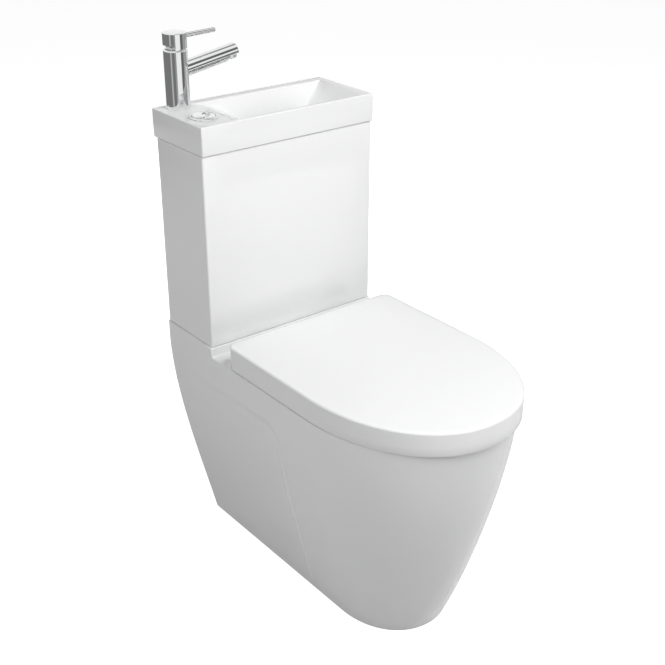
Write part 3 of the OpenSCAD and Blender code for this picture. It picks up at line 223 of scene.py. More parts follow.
def full_circle(steps):
    """Angles round a circle, in radians."""
    return [2 * math.pi * k / steps for k in range(steps)]


def quarter(steps):
    """Angles over a quarter turn, in radians, with both ends."""
    return [radians(90 * k / steps) for k in range(steps + 1)]


AXIS_R = 0.001  # a turned shape that closes on its axis ends at this radius


def spun(name, outline, centre, sides=96):
    """A turned piece: a closed outline of (radius, height) points round an upright axis."""
    rings = [[(centre[0] + r * cos(a), centre[1] + r * sin(a), centre[2] + z)
              for a in full_circle(sides)] for r, z in outline]
    return loft(name, rings, endless=True)


def between(a, b, share):
    """The point at a share of the way from a to b."""
    return tuple(Vector(a).lerp(Vector(b), share))


def ease(t):
    t = min(1, max(0, t))
    return t * t * (3 - 2 * t)


def bezier(p, t):
    s = 1 - t
    return s ** 3 * p[0] + 3 * s * s * t * p[1] + 3 * s * t * t * p[2] + t ** 3 * p[3]


def oval(half, deep, angle, power):
    """Distance from an oval's middle to its edge. A power above 2 makes it squarer."""
    return (abs(cos(angle) / half) ** power + abs(sin(angle) / deep) ** power) ** (-1 / power)


FRONT_POWER = 2.12  # how square the round fronts of pan, lid and seat are


def d_columns(flank, front_steps, back_steps, corner_steps):
    """Places round a D: right flank, corner, back, corner, left flank and round front.

    Each is a kind, a side from -1 to 1, and a y or an angle, as d_point takes it.
    """
    corner = quarter(corner_steps)[1:]
    back = [("back", 1 - 2 * k / back_steps, 0) for k in range(1, back_steps)]
    front = [("front", 0, radians(180 + 180 * k / front_steps)) for k in range(1, front_steps)]
    return ([("side", 1, y) for y in flank] + [("corner", 1, a) for a in corner] + back
            + [("corner", -1, a) for a in reversed(corner)]
            + [("side", -1, y) for y in reversed(flank)] + front)


def d_point(column, half, nose, curve_y, back_y, corner_r):
    """Where a place of d_columns is on a D of these measures.

    half is half the width, curve_y is where the front starts, and nose is how far it reaches.
    """
    kind, side, at = column
    corner_y = back_y - corner_r
    if kind == "side":
        return side * half, min(at, corner_y)
    if kind == "corner":
        return side * (half - corner_r + corner_r * cos(at)), corner_y + corner_r * sin(at)
    if kind == "back":
        return side * (half - corner_r), back_y
    x = half * math.copysign(abs(cos(at)) ** (2 / FRONT_POWER), cos(at))
    return x, curve_y - nose * abs(sin(at)) ** (2 / FRONT_POWER)


# ---------------------------------------------------------------- camera

# It was fitted to the straight edges of basin and cistern in the photograph.
camera_data = bpy.data.cameras.new("studio_camera")
camera_data.sensor_width = 36
camera_data.lens = 60.92
camera = into_scene("studio_camera", camera_data)
camera.location = (-1.1162, -1.3592, 1.3709)
camera.rotation_euler = (radians(63.712), 0, radians(-38.047))
scene = bpy.context.scene
scene.camera = camera

# ---------------------------------------------------------------- ceramic pan

RIM, DECK, WALL = 436.5, 454.0, 341.0

# The step up from the rim to the rear deck, as (y, z).
STEP = [(178.5, RIM), (180.6, 436.7), (182.1, 437.5), (183.0, 438.8), (183.4, 440.6),
        (183.8, 451.4), (184.2, 452.7), (185.1, 453.6), (186.8, DECK)]

# The outside at four heights, as control points of one curve each from the floor to the top.
PAN_HEIGHTS = [0, 112.2, 308.2, 438.5]
PAN_WIDTHS = [202, 254, 373, 368]
PAN_NOSES = [125, 177, 229, 242]
PAN_CURVE_Y = -89  # where the flanks end and the round front starts
PAN_CORNER_R, LEAST_CORNER_R = 14, 3
PAN_EDGE_R, PAN_FOOT_R = 2.2, 2
LEVEL_TOP = 428  # the rings of the outside are level from here down
SKIRT_WALL, SKIRT_ROOF = 15.5, 422.5

# The bowl, as control points from the rim down to the sump.
BOWL_HEIGHTS = [436.5, 330.5, 250, 145]
BOWL_HALVES = [131, 131, 60.3, 44]
BOWL_FRONTS = [-283, -283, -141, -77.5]
BOWL_BACKS = [86.5, 86.5, 56.5, 42.5]
BOWL_MID_Y, BOWL_POWER = -98.25, 2.25
BOWL_RIM_R, BOWL_WALL, BOWL_UNDERSIDE = 7, 10, 135

# The panel pressed into each flank. Its upper edge falls toward the wall, and it runs out toward
# the wall and the floor.
PANEL_FRONT, PANEL_TOP, PANEL_FALL = -7, 378, 12
PANEL_DEPTH, PANEL_CORNER_R, PANEL_SLOPE = 3.3, 30, 18
FADE_FRONT, FADE_LENGTH, FADE_HEIGHT = 20, 290, 90

pan_flank = [-89, -80, -70, -60, -50, -42, -36, -31, -27, -24, -22, -20, -18, -16, -14, -12, -10,
             -8, -6, -3, 1, 6, 14, 25, 45, 65, 85, 105, 125, 145, 160, 170]
pan_flank += [y for y, z in STEP] + [195, 215, 240, 265, 290, 310, 320, 327]
pan_columns = d_columns(pan_flank, 120, 24, 6)


def pan_share(z):
    """How far up the curves of the outside a height lies, from 0 at the floor to 1 at the top."""
    low, high = 0, 1
    for _ in range(30):
        middle = (low + high) / 2
        if bezier(PAN_HEIGHTS, middle) < z:
            low = middle
        else:
            high = middle
    return low


def top_height(y):
    """Height of the pan's top at its edge: rim, step or deck."""
    if y <= STEP[0][0]:
        return RIM
    for (y0, z0), (y1, z1) in zip(STEP, STEP[1:]):
        if y <= y1:
            return z0 + (z1 - z0) * (y - y0) / (y1 - y0)
    return DECK


def pan_point(column, share, inset):
    half = bezier(PAN_WIDTHS, share) / 2 - inset
    nose = bezier(PAN_NOSES, share) - inset
    corner_r = max(PAN_CORNER_R - inset, LEAST_CORNER_R)
    return d_point(column, half, nose, PAN_CURVE_Y, WALL - inset, corner_r)


def sunk(x, y, z):
    """The x of a flank where its panel is pressed in."""
    top = PANEL_TOP - PANEL_FALL * (y - PANEL_FRONT) / (WALL - PANEL_FRONT)
    behind, below = y - PANEL_FRONT - PANEL_CORNER_R, top - z - PANEL_CORNER_R
    if behind < 0 and below < 0:
        inside = PANEL_CORNER_R - math.hypot(behind, below)
    else:
        inside = min(behind, below) + PANEL_CORNER_R
    fade = (1 - ease((y - FADE_FRONT) / FADE_LENGTH)) * ease(z / FADE_HEIGHT)
    depth = PANEL_DEPTH * ease(inside / PANEL_SLOPE + 0.5) * fade
    return math.copysign(max(abs(x) - depth, 0), x)


def pan_wall(heights, inset=0.0):
    """One ring of the outside. Each column has its own height."""
    ring = []
    for column, z in zip(pan_columns, heights):
        x, y = pan_point(column, pan_share(z), inset)
        ring.append((sunk(x, y, z), y, z))
    return ring


edge_line = [pan_point(column, 1, 0) for column in pan_columns]
spokes = [math.atan2(y - BOWL_MID_Y, x) for x, y in edge_line]


def bowl_ring(t, z, grow):
    """One ring of the bowl, with a point for each column of the outside."""
    half = bezier(BOWL_HALVES, t) + grow
    front = bezier(BOWL_FRONTS, t) - grow
    back = bezier(BOWL_BACKS, t) + grow
    ring = []
    for angle in spokes:
        r = oval(half, (back - front) / 2, angle, BOWL_POWER)
        ring.append((r * cos(angle), (back + front) / 2 + r * sin(angle), z))
    return ring


def bowl_skin():
    """The bowl from its sump up to the rim's inner edge."""
    rings = [bowl_ring(1, z, grow) for z, grow in ((140.2, -18), (141.5, -9), (144, -3))]
    first, steps = 0.03, 36
    for k in range(steps, 0, -1):
        t = first + (1 - first) * k / steps
        rings.append(bowl_ring(t, bezier(BOWL_HEIGHTS, t), 0))
    for a in quarter(6):
        rings.append(bowl_ring(0, RIM - BOWL_RIM_R + BOWL_RIM_R * sin(a),
                               BOWL_RIM_R - BOWL_RIM_R * cos(a)))
    return rings


def top_skin(rim_line, shoulder):
    """The flat rim and the step to the deck, from the bowl's edge out to the shoulder."""
    rings = [[between(a, b, 0.35) if b[1] < 120 else between(a, (b[0], b[1], RIM), 0.2)
              for a, b in zip(rim_line, shoulder)]]
    for y_line, z_line in STEP:
        ring = []
        for base, outer in zip(rim_line, shoulder):
            if outer[1] > y_line:
                s = (y_line - base[1]) / (outer[1] - base[1])
                ring.append((base[0] + s * (outer[0] - base[0]), y_line, z_line))
            else:
                ring.append(outer)
        rings.append(ring)
    return rings + [shoulder]


def outer_skin(tops):
    """The outside from the rounded upper edge down to the floor."""
    rings = []
    for a in reversed(quarter(5)[:-1]):
        rings.append(pan_wall([z - PAN_EDGE_R + PAN_EDGE_R * sin(a) for z in tops],
                              PAN_EDGE_R - PAN_EDGE_R * cos(a)))
    for k in range(3, 0, -1):
        rings.append(pan_wall([LEVEL_TOP + (z - PAN_EDGE_R - LEVEL_TOP) * k / 4 for z in tops]))
    steps = 118
    for k in range(steps, 0, -1):
        z = PAN_FOOT_R + (LEVEL_TOP - PAN_FOOT_R) * k / steps
        rings.append(pan_wall([z] * len(pan_columns)))
    for a in quarter(3):
        rings.append(pan_wall([PAN_FOOT_R - PAN_FOOT_R * sin(a)] * len(pan_columns),
                              PAN_FOOT_R - PAN_FOOT_R * cos(a)))
    return rings


def inner_skin():
    """The skirt's inside from the floor up, and the bowl's underside down to the sump."""
    rings = []
    steps = 10
    for k in range(steps + 1):
        share = pan_share(PAN_HEIGHTS[-1] * k / steps)
        rings.append([(*pan_point(column, share, SKIRT_WALL), SKIRT_ROOF * k / steps)
                      for column in pan_columns])
    steps = 12
    for k in range(steps + 1):
        t = k / steps
        z = BOWL_UNDERSIDE + ((bezier(BOWL_HEIGHTS, t) - BOWL_HEIGHTS[-1])
                              * (SKIRT_ROOF - BOWL_UNDERSIDE) / (RIM - BOWL_HEIGHTS[-1]))
        rings.append(bowl_ring(t, z, BOWL_WALL))
    return rings


def make_pan():
    """One closed skin, with the openings cut and the flush duct set inside."""
    bowl = bowl_skin()
    tops = [top_height(y) for x, y in edge_line]
    shoulder = [(*pan_point(column, 1, PAN_EDGE_R), z) for column, z in zip(pan_columns, tops)]
    pan = loft("ceramic_pan", bowl + top_skin(bowl[-1], shoulder) + outer_skin(tops) + inner_skin())
    corners = ((-75.1, -1), (75.1, -1), (118, 362), (-118, 362))
    opening = loft("back_opening", [[(x, y, z) for x, z in corners] for y in (321, 343)])
    round_along(opening, "z", 0.01, 1)  # too fine to see
    bore = drum("trap_mouth", 33, 97, (0, -17.5, 178), lean=(-90, 0, 0))
    mouth = brick("flush_mouth", -48, 48, 60, 130, 384, 418)
    round_along(mouth, "y", 12, 6)
    cut_by(pan, opening, bore, mouth)
    duct = brick("flush_duct", -58, 58, 92, 317, 372.5, 440)
    cut_by(duct, brick("duct_space", -48, 48, 60, 307, 382.5, SKIRT_ROOF))
    return smooth(joined(pan, duct), 30)


pan = make_pan()
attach(pan, "body")
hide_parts("pan", "pan_deck", "pan_bowl")
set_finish(pan, "ceramic")

# ---------------------------------------------------------------- ceramic cistern

CISTERN_HALF, CISTERN_FRONT, CISTERN_LOW, CISTERN_TOP = 181.3, 184.5, 455.2, 806.6
CISTERN_WALL, CISTERN_FLOOR = 9, 12
VALVES_Y = 262.75  # the line on which flush valve and fill valve stand
VALVE_HOLE_R, FILL_HOLE_R, FILL_X = 32.5, 11, 125
SCREW_HOLE_R, SCREW_X, SCREW_Z = 4, 120, 742.6


def make_cistern():
    """An open box, with a cut-out for the tap's pipes and holes for wall screws and valves."""
    shell = brick("ceramic_cistern", -CISTERN_HALF, CISTERN_HALF, CISTERN_FRONT, WALL,
                  CISTERN_LOW, CISTERN_TOP)
    round_along(shell, "z", 3.5, 6, lambda end: end.y < 200)
    round_along(shell, "z", 14, 10, lambda end: end.y > 300)
    soften(shell, 0.9)
    half = CISTERN_HALF - CISTERN_WALL
    space = brick("water_space", -half, half, CISTERN_FRONT + CISTERN_WALL, WALL - CISTERN_WALL,
                  CISTERN_LOW + CISTERN_FLOOR, 830)
    round_along(space, "z", 8, 5)
    notch = brick("pipe_notch", -165, -121, 326, 350, 766.6, 820)
    round_along(notch, "y", 6, 4, lambda end: end.z < 780)
    screws = [drum("screw_hole", SCREW_HOLE_R, 30, (x, 320, SCREW_Z), lean=(-90, 0, 0), sides=32)
              for x in (-SCREW_X, SCREW_X)]
    fill = drum("fill_hole", FILL_HOLE_R, 40, (FILL_X, VALVES_Y, 440), sides=48)
    valve = drum("valve_hole", VALVE_HOLE_R, 40, (0, VALVES_Y, 440), sides=64)
    return smooth(cut_by(shell, space, notch, *screws, fill, valve), 30)


cistern = make_cistern()
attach(cistern, "body")
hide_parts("cistern")
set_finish(cistern, "ceramic")

# ---------------------------------------------------------------- ceramic basin

BLOCK_HALF, BLOCK_FRONT, BLOCK_LOW, BASIN_TOP = 182.5, 181, 807.8, 858.0
SKIRT, SKIRT_SPACE_TOP = 10, 846  # the block's wall and the roof of the space in it
BASIN_DEPTH = 75
RAMP_START, RAMP_END, FLAT_END, BASIN_END = -124.5, 52.5, 112.5, 167  # x along the bowl
BASIN_FRONT, BASIN_BACK = 191.2, 321  # y of the bowl's edges
FRONT_LEAN, BACK_LEAN = 14 / BASIN_DEPTH, 7 / BASIN_DEPTH  # how far each wall leans on its way down
BASIN_WALL, LIP_R = 8, 2.6
RAMP_COVE_R, END_COVE_R = 16, 5  # rounding at the foot of the walls, on the ramp and at its end

TAP, TAP_HOLE_R = (-144.0, 315.0), 17.5
BUTTON, BUTTON_HOLE_R = (-146.0, 231.0), 22.3
WASTE, WASTE_HOLE_R = (82.5, 256.1), 21


def basin_depth(x):
    """Depth of the bowl along the basin: a long ramp, a flat and a sloped end."""
    if x < RAMP_END:
        u = max(0, (x - RAMP_START) / (RAMP_END - RAMP_START))
        return BASIN_DEPTH * (1 - cos(math.pi * u)) / 2
    if x < FLAT_END:
        return BASIN_DEPTH
    return max(0.0, BASIN_DEPTH * (BASIN_END - x) / (BASIN_END - FLAT_END))


def basin_section(x, depth, grow=0):
    """The bowl cut across at x: down the front wall, over the bottom and up the back wall."""
    front, back = BASIN_FRONT - grow, BASIN_BACK + grow
    depth += grow
    lip = min(LIP_R, depth * 0.5) if grow == 0 else 0
    cove = min((RAMP_COVE_R if x < 100 else END_COVE_R) + grow, depth * 0.6)
    left, right = [(x, front - lip, BASIN_TOP + 6)], [(x, back + lip, BASIN_TOP + 6)]
    for a in quarter(4):
        z = BASIN_TOP - lip + lip * cos(a)
        left.append((x, front - lip + lip * sin(a), z))
        right.append((x, back + lip - lip * sin(a), z))
    foot = depth - cove
    for k in range(1, 5):
        down = lip + (foot - lip) * k / 4
        left.append((x, front + FRONT_LEAN * (down - lip), BASIN_TOP - down))
        right.append((x, back - BACK_LEAN * (down - lip), BASIN_TOP - down))
    y_left, y_right = left[-1][1], right[-1][1]
    for a in quarter(8)[1:]:
        z = BASIN_TOP - foot - cove * sin(a)
        left.append((x, y_left + cove * (1 - cos(a)), z))
        right.append((x, y_right - cove * (1 - cos(a)), z))
    bottom = [between(left[-1], right[-1], k / 8) for k in range(1, 8)]
    return left + bottom + right[::-1]


def make_basin():
    """A block that is hollow below, with the bowl hung in it and cut out of it."""
    block = brick("ceramic_basin", -BLOCK_HALF, BLOCK_HALF, BLOCK_FRONT, WALL, BLOCK_LOW,
                  BASIN_TOP)
    round_along(block, "z", 2.4, 5)
    soften(block, 1.8, 4)
    half = BLOCK_HALF - SKIRT
    cut_by(block, brick("skirt_space", -half, half, BLOCK_FRONT + SKIRT, WALL - SKIRT, 790,
                        SKIRT_SPACE_TOP))
    ramp = RAMP_END - RAMP_START
    stops = [-124.4 + ramp * k / 40 for k in range(41)] + [60, 75, 90, 104, 112.4]
    stops += [112.6 + 53.4 * k / 14 for k in range(15)]
    lump = loft("bowl_lump", [basin_section(x, basin_depth(x), BASIN_WALL)
                              for x in stops if x > -100])
    fused(block, trimmed_to(lump, brick("bowl_limit", -170, 180, 183, 339, 760, 850)))
    rings = [basin_section(x, max(basin_depth(x), 0.05)) for x in stops]
    end_depth = 1.376  # the bowl's depth at the last stop, from where its end is rounded up
    for a in quarter(5)[1:]:
        rings.append(basin_section(166.0 + 3.2 * sin(a), end_depth * (1 - sin(a)) + 0.02))
    bowl = loft("bowl_space", rings)
    tap_hole = drum("tap_hole", TAP_HOLE_R, 40, (*TAP, 830))
    button_hole = drum("button_hole", BUTTON_HOLE_R, 60, (*BUTTON, 820))
    waste_hole = drum("waste_hole", WASTE_HOLE_R, 60, (*WASTE, 760))
    return smooth(cut_by(block, bowl, tap_hole, button_hole, waste_hole), 30)


basin = make_basin()
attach(basin, "body")
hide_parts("basin")
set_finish(basin, "ceramic")

# ---------------------------------------------------------------- lid and seat

COVER_CURVE_Y = -96  # where the round front of lid and seat starts
LID_HALF, LID_NOSE, LID_BACK, LID_CORNER_R = 183.0, 245.0, 134.5, 18.0
LID_WALL, LID_ROOF = 4.5, 472
HEEL_RISE, HEEL_RUN = 14.0, 9.0
SEAT_HALF, SEAT_NOSE, SEAT_BACK, SEAT_CORNER_R = 175.5, 237.5, 123, 10
HOLE_HALF, HOLE_DEEP, HOLE_MID_Y, HOLE_POWER = 108, 145, -118, 2.2  # the hole in the seat
PIN_Y, PIN_Z, PIN_WAY_R = 149, 453, 5.05  # the hinge pins and the ways for them
LUG_R, LUG_WIDTH = 9.0, 11.5

lid_flank = [-96, -80, -60, -40, -20, 0, 20, 40, 60, 80, 95, 105, 112, 116.5]
lid_columns = d_columns(lid_flank, 110, 40, 9)
seat_columns = d_columns(lid_flank[:-2] + [113.0], 110, 40, 8)


def lid_ring(inset, height):
    """One ring of the lid. The height is a number, or a function of y."""
    corner_r = max(LID_CORNER_R - inset, LEAST_CORNER_R)
    ring = []
    for column in lid_columns:
        x, y = d_point(column, LID_HALF - inset, LID_NOSE - inset, COVER_CURVE_Y,
                       LID_BACK - inset, corner_r)
        ring.append((x, y, height(y) if callable(height) else height))
    return ring


def heel(y):
    """How far the lid's lower edge has swept up at its back corners."""
    q = min(1, max(0, (y - LID_BACK + HEEL_RUN) / HEEL_RUN))
    return HEEL_RISE * (1 - math.sqrt(1 - q * q))


def shrunk(ring, share, z, middle_y=-50):
    """A ring drawn in toward its middle, at a new height."""
    return [(x * share, middle_y + (y - middle_y) * share, z) for x, y, _ in ring]


def pin_bar(name, radius, x, length):
    """A bar along the hinge's axis."""
    return drum(name, radius, length, (x, PIN_Y, PIN_Z), lean=(0, 90, 0), sides=64)


def lug(name, x, web):
    """A hinge lug: a round eye on the pin, with a web to the piece that it carries."""
    eye = pin_bar(name, LUG_R, x, LUG_WIDTH)
    soften(eye, 0.8)
    arm = brick("web", x + 0.3, x + LUG_WIDTH - 0.3, *web)
    soften(arm, 1.0)
    return cut_by(fused(eye, arm), pin_bar("pin_way", PIN_WAY_R, x - 3, LUG_WIDTH + 6))


def make_lid():
    """A hollow cover, with notches for the hinge blocks, and with lugs and ribs."""
    edge = lid_ring(LID_WALL, 481.4)
    rings = [shrunk(edge, share, z) for share, z in (
        (0.12, 482.0), (0.4, 482.0), (0.65, 481.98), (0.82, 481.9), (0.92, 481.75), (0.97, 481.6))]
    rings.append(edge)
    for a in quarter(7)[1:]:
        rings.append(lid_ring(LID_WALL - LID_WALL * sin(a), 477.0 + 4.4 * cos(a)))
    for z in (470.0, 461.0, 455.0):
        rings.append(lid_ring(0, lambda y, z=z: max(z, 439.5 + heel(y) + 0.5)))
    for inset, up in ((0, 1.2), (0.3, 0.5), (1.1, 0.0), (3.4, 0.0), (4.2, 0.5), (LID_WALL, 1.2)):
        rings.append(lid_ring(inset, lambda y, up=up: 438.5 + up + heel(y)))
    for z in (456.0, LID_ROOF):
        rings.append(lid_ring(LID_WALL, lambda y, z=z: max(z, 440.7 + heel(y))))
    for a in quarter(4)[1:]:
        rings.append(lid_ring(LID_WALL + 4 - 4 * cos(a), LID_ROOF + 4 * sin(a)))
    inner_edge = rings[-1]
    rings += [shrunk(inner_edge, share, LID_ROOF + 4) for share in (0.8, 0.4, 0.12)]
    lid = loft("lid_moulding", rings)
    notches = [brick("notch", x, x + 32, 128.5, 137, 430, 465) for x in (67.5, -99.5)]
    for notch in notches:
        round_along(notch, "y", 3, 4, lambda end: end.z > 460)
    cut_by(lid, *notches)
    lugs = [lug("lid_lug", x, (130.5, PIN_Y, 445.5, 466)) for x in (56.0, -67.5)]
    ribs = [brick("rib", x, x + 2.2, -230, 105, 473.5, 477) for x in (-60, 57.8)]
    for rib in ribs:
        soften(rib, 0.8, 2)
    return smooth(joined(lid, *lugs, *ribs))


lid = make_lid()
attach(lid, "lid")
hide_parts("lid")
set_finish(lid, "seat_plastic")


def seat_outline(inset):
    corner_r = max(SEAT_CORNER_R - inset, 2)
    return [d_point(column, SEAT_HALF - inset, SEAT_NOSE - inset, COVER_CURVE_Y,
                    SEAT_BACK - inset, corner_r) for column in seat_columns]


def make_seat():
    """A ring that is hollow below, with its lugs."""
    angles = [math.atan2(y - HOLE_MID_Y, x) for x, y in seat_outline(0)]

    def inner(grow, z):
        ring = []
        for a in angles:
            r = oval(HOLE_HALF + grow, HOLE_DEEP + grow, a, HOLE_POWER)
            ring.append((r * cos(a), HOLE_MID_Y + r * sin(a), z))
        return ring

    def outer(inset, z):
        return [(x, y, z) for x, y in seat_outline(inset)]

    rings = [inner(*place) for place in (
        (0.6, 444), (0, 447.5), (0.2, 452), (1.4, 456), (4, 459.2), (8, 461.2), (14, 462.4),
        (21, 463))]
    rings.append([between(a, b, 0.55) for a, b in zip(inner(21, 463.2), outer(14, 463.5))])
    rings += [outer(*place) for place in (
        (12, 463.5), (7, 463.4), (4.2, 462.8), (2, 461.4), (0.6, 459.2), (0, 456.5), (0, 444.5),
        (0.6, 442.4), (2.2, 441), (4.4, 440.5), (9, 440.5), (10, 446))]
    rings += [inner(*place) for place in ((9, 446), (8, 440.5), (4, 440.8), (1.8, 442))]
    seat = loft("seat_ring", rings, endless=True)
    lugs = [lug("seat_lug", x, (116.5, PIN_Y, 446, 460)) for x in (87.5, -99.0)]
    return smooth(joined(seat, *lugs), 34)


seat = make_seat()
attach(seat, "seat")
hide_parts("seat")
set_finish(seat, "seat_plastic")


def make_hinge_blocks():
    blocks = []
    for x in (68, -87):
        block = brick("hinge_bodies", x, x + 19, 137, 162, RIM, 464)
        round_along(block, "x", 6, 6, lambda end: end.z > 460)
        soften(block, 1.0)
        blocks.append(cut_by(block, pin_bar("pin_way", PIN_WAY_R, x - 5, 30)))
    return smooth(joined(*blocks))


hinges = make_hinge_blocks()
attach(hinges, "body")
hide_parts("hinge_blocks")
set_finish(hinges, "hinge_chrome")

# ---------------------------------------------------------------- flush buttons

PLATE_R, PLATE_LOW, FULL_HIGH, HALF_HIGH = 20.3, 857, 862, 863.6
PLATE_TURN = 35  # degrees by which the parting line is turned
STEMS = {"full": (6.5, -9), "half": (-6.5, 9)}  # from the button's middle
STEM_R, STEM_LOW, STEM_WAY_R = 3.5, 791, 3.8
BARREL_LOW, BARREL_FLOOR = 800.0, 803.0


def at_button(x, y):
    return BUTTON[0] + x, BUTTON[1] + y


def make_bezel():
    """The chrome ring and its barrel, with a floor that the two stems go through."""
    outline = [(20.9, 857.6), (20.9, 861.4), (21.3, 862.2), (22.0, 862.5), (22.8, 862.4),
               (23.6, 861.9), (24.2, 861.0), (24.5, 859.8), (24.5, BASIN_TOP), (22.0, BASIN_TOP),
               (22.0, BARREL_LOW), (AXIS_R, BARREL_LOW), (AXIS_R, BARREL_FLOOR),
               (20.6, BARREL_FLOOR), (20.6, 857.6)]
    ring = spun("button_ring", outline, (*BUTTON, 0))
    for stem_at in STEMS.values():
        cut_by(ring, drum("stem_way", STEM_WAY_R, 12, (*at_button(*stem_at), 796), sides=48))
    return smooth(ring)


bezel = make_bezel()
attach(bezel, "body")
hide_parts("button_bezel")
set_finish(bezel, "tap_chrome")


def push_plate(name, side, high, stem_at):
    """A half disc with a wavy parting line and a soft upper edge, on its stem."""
    line = []
    for k in range(-24, 25):
        x = PLATE_R * k / 24
        y = side * 0.4 + PLATE_R * 0.3 * sin(math.pi * x / PLATE_R)
        if x * x + y * y <= PLATE_R * PLATE_R * 1.0001:
            line.append((x, y))
    start, end = math.atan2(line[-1][1], line[-1][0]), math.atan2(line[0][1], line[0][0])
    whole = 2 * math.pi
    sweep = (end - start) % whole if side > 0 else -((start - end) % whole)
    for k in range(1, 48):
        a = start + sweep * k / 48
        line.append((PLATE_R * cos(a), PLATE_R * sin(a)))
    c, s = cos(radians(PLATE_TURN)), sin(radians(PLATE_TURN))
    foot = [(x * c - y * s + BUTTON[0], x * s + y * c + BUTTON[1]) for x, y in line]
    mesh = bpy.data.meshes.new(name)
    mesh.from_pydata([(x / MM, y / MM, PLATE_LOW / MM) for x, y in foot], [],
                     [tuple(range(len(foot)))])
    plate = into_scene(name, mesh)
    pick(plate)
    bpy.ops.object.mode_set(mode="EDIT")
    bpy.ops.mesh.select_all(action="SELECT")
    lift = (0, 0, (high - PLATE_LOW) / MM)
    bpy.ops.mesh.extrude_region_move(TRANSFORM_OT_translate={"value": lift})
    bpy.ops.mesh.select_all(action="SELECT")
    bpy.ops.mesh.normals_make_consistent(inside=False)
    bpy.ops.object.mode_set(mode="OBJECT")
    soften(plate, 0.9, 4, 50)
    stem = drum("stem", STEM_R, PLATE_LOW + 1 - STEM_LOW, (*at_button(*stem_at), STEM_LOW),
                sides=32)
    return smooth(joined(plate, stem), 30)


def make_spring(name, stem_at):
    """A return spring: a wire wound round a stem, with its end turns lying on each other."""
    turns, low, high, wind_r, wire_r = 13, 803.5, 856.5, 4.65, 0.5
    turn_steps, wire_steps = 24, 8
    x, y = at_button(*stem_at)
    close = 2.04 * wire_r
    rings = []
    for k in range(turns * turn_steps + 1):
        turn = k / turn_steps
        z = low + close * (min(turn, 1) + max(turn - turns + 1, 0))
        z += (high - low - 2 * close) * min(1, max(0, (turn - 1) / (turns - 2)))
        a = 2 * math.pi * turn
        ring = []
        for b in full_circle(wire_steps):
            out = wind_r + wire_r * cos(b)
            ring.append((x + out * cos(a), y + out * sin(a), z + wire_r * sin(b)))
        rings.append(ring)
    return smooth(loft(name, rings), 60)


full = push_plate("full_flush_plate", -1, FULL_HIGH, STEMS["full"])
half = push_plate("half_flush_plate", 1, HALF_HIGH, STEMS["half"])
lobe = ball("finger_lobe", 1, (*at_button(11.8, 6.6), 863.0), stretch=(4.8, 4.1, 4.4), turn=-50)
smooth(fused(full, lobe), 30)
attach(full, "full_button")
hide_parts("button_full")
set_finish(full, "tap_chrome")
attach(half, "half_button")
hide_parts("button_half")
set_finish(half, "tap_chrome")
springs = []
for kind, stem_at in STEMS.items():
    spring = make_spring(kind + "_return_spring", stem_at)
    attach(spring, "body")
    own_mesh(spring)
    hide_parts("button_spring_" + kind)
    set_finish(spring, "steel")
    springs.append(spring)

# ---------------------------------------------------------------- lever tap

BODY_R, BODY_TOP, BODY_EDGE_R = 20.5, 100.0, 2.2
NECK_R, NECK_FLOOR = 17.35, 56.0
CAP_LOW, CAP_TOP = 102.0, 129.0
SPOUT_R, SPOUT_LENGTH, SPOUT_RISE, SPOUT_ROOT = 13.6, 122, 10, 61.6
NOZZLE_AT = 111.5  # along the spout
LEVER_R, LEVER_LENGTH, LEVER_RISE, LEVER_ROOT = 4.25, 71.4, 2.4, 8.6


def at_tap(x, z, y=0.0):
    """A place measured from the middle of the tap's foot: along the spout, up, and across."""
    return TAP[0] + x, TAP[1] + y, BASIN_TOP + z


def make_tap_body():
    """The tap's body on its base ring, turned in one, with a rounded top edge."""
    outline = [(16.5, 0), (21.3, 0), (21.75, 0.4), (21.75, 1.9), (21.3, 2.4), (20.3, 2.5),
               (20.3, 3.1), (20.5, 3.3), (BODY_R, 4.0), (BODY_R, 50.0), (BODY_R, BODY_TOP - 3.0)]
    outline += [(BODY_R - BODY_EDGE_R + BODY_EDGE_R * cos(a),
                 BODY_TOP - BODY_EDGE_R + BODY_EDGE_R * sin(a)) for a in quarter(6)]
    outline += [(NECK_R, BODY_TOP), (NECK_R, NECK_FLOOR), (12, NECK_FLOOR), (12, 28), (16.5, 28)]
    return smooth(spun("tap_column", outline, at_tap(0, 0), sides=128))


def along_spout(s, down=0.0, y=0.0):
    """A place by its distance along the spout's axis, below it and across."""
    c, d = cos(radians(SPOUT_RISE)), sin(radians(SPOUT_RISE))
    return at_tap(s * c + down * d, SPOUT_ROOT + s * d - down * c, y)


def make_spout():
    """The spout: a round bar with its end milled flat underneath, where the nozzle hangs."""
    bar = drum("tap_spout_bar", SPOUT_R, SPOUT_LENGTH, along_spout(0),
               lean=(0, 90 - SPOUT_RISE, 0), sides=128)
    soften(bar, 0.7, 3, 50)
    flat = tipped(brick("milled_flat", 99, 130, -20, 20, -30, -2.5), -SPOUT_RISE, along_spout(0))
    column = drum("column_space", BODY_R - 0.1, 140, at_tap(0, -20), sides=128)
    return smooth(cut_by(bar, flat, column))


def make_nozzle():
    """The aerator: a turned ring with a fine grip round it, open below, on a flange."""
    outline = [(8.9, 2.6), (9.9, 2.6), (10.3, 3.0), (10.5, 3.4), (10.5, 8.7), (10.3, 9.4),
               (9.8, 9.9), (9.2, 9.9), (8.9, 9.5)]
    ring = spun("nozzle_ring", outline, (0, 0, 0))
    tipped(ring, 180 - SPOUT_RISE, along_spout(NOZZLE_AT))
    grips = [drum("grip", 0.45, 4.2, along_spout(NOZZLE_AT + 10.45 * cos(a), 8.3, 10.45 * sin(a)),
                  lean=(0, -SPOUT_RISE, 0), sides=10) for a in full_circle(24)]
    return smooth(cut_by(ring, joined(*grips)))


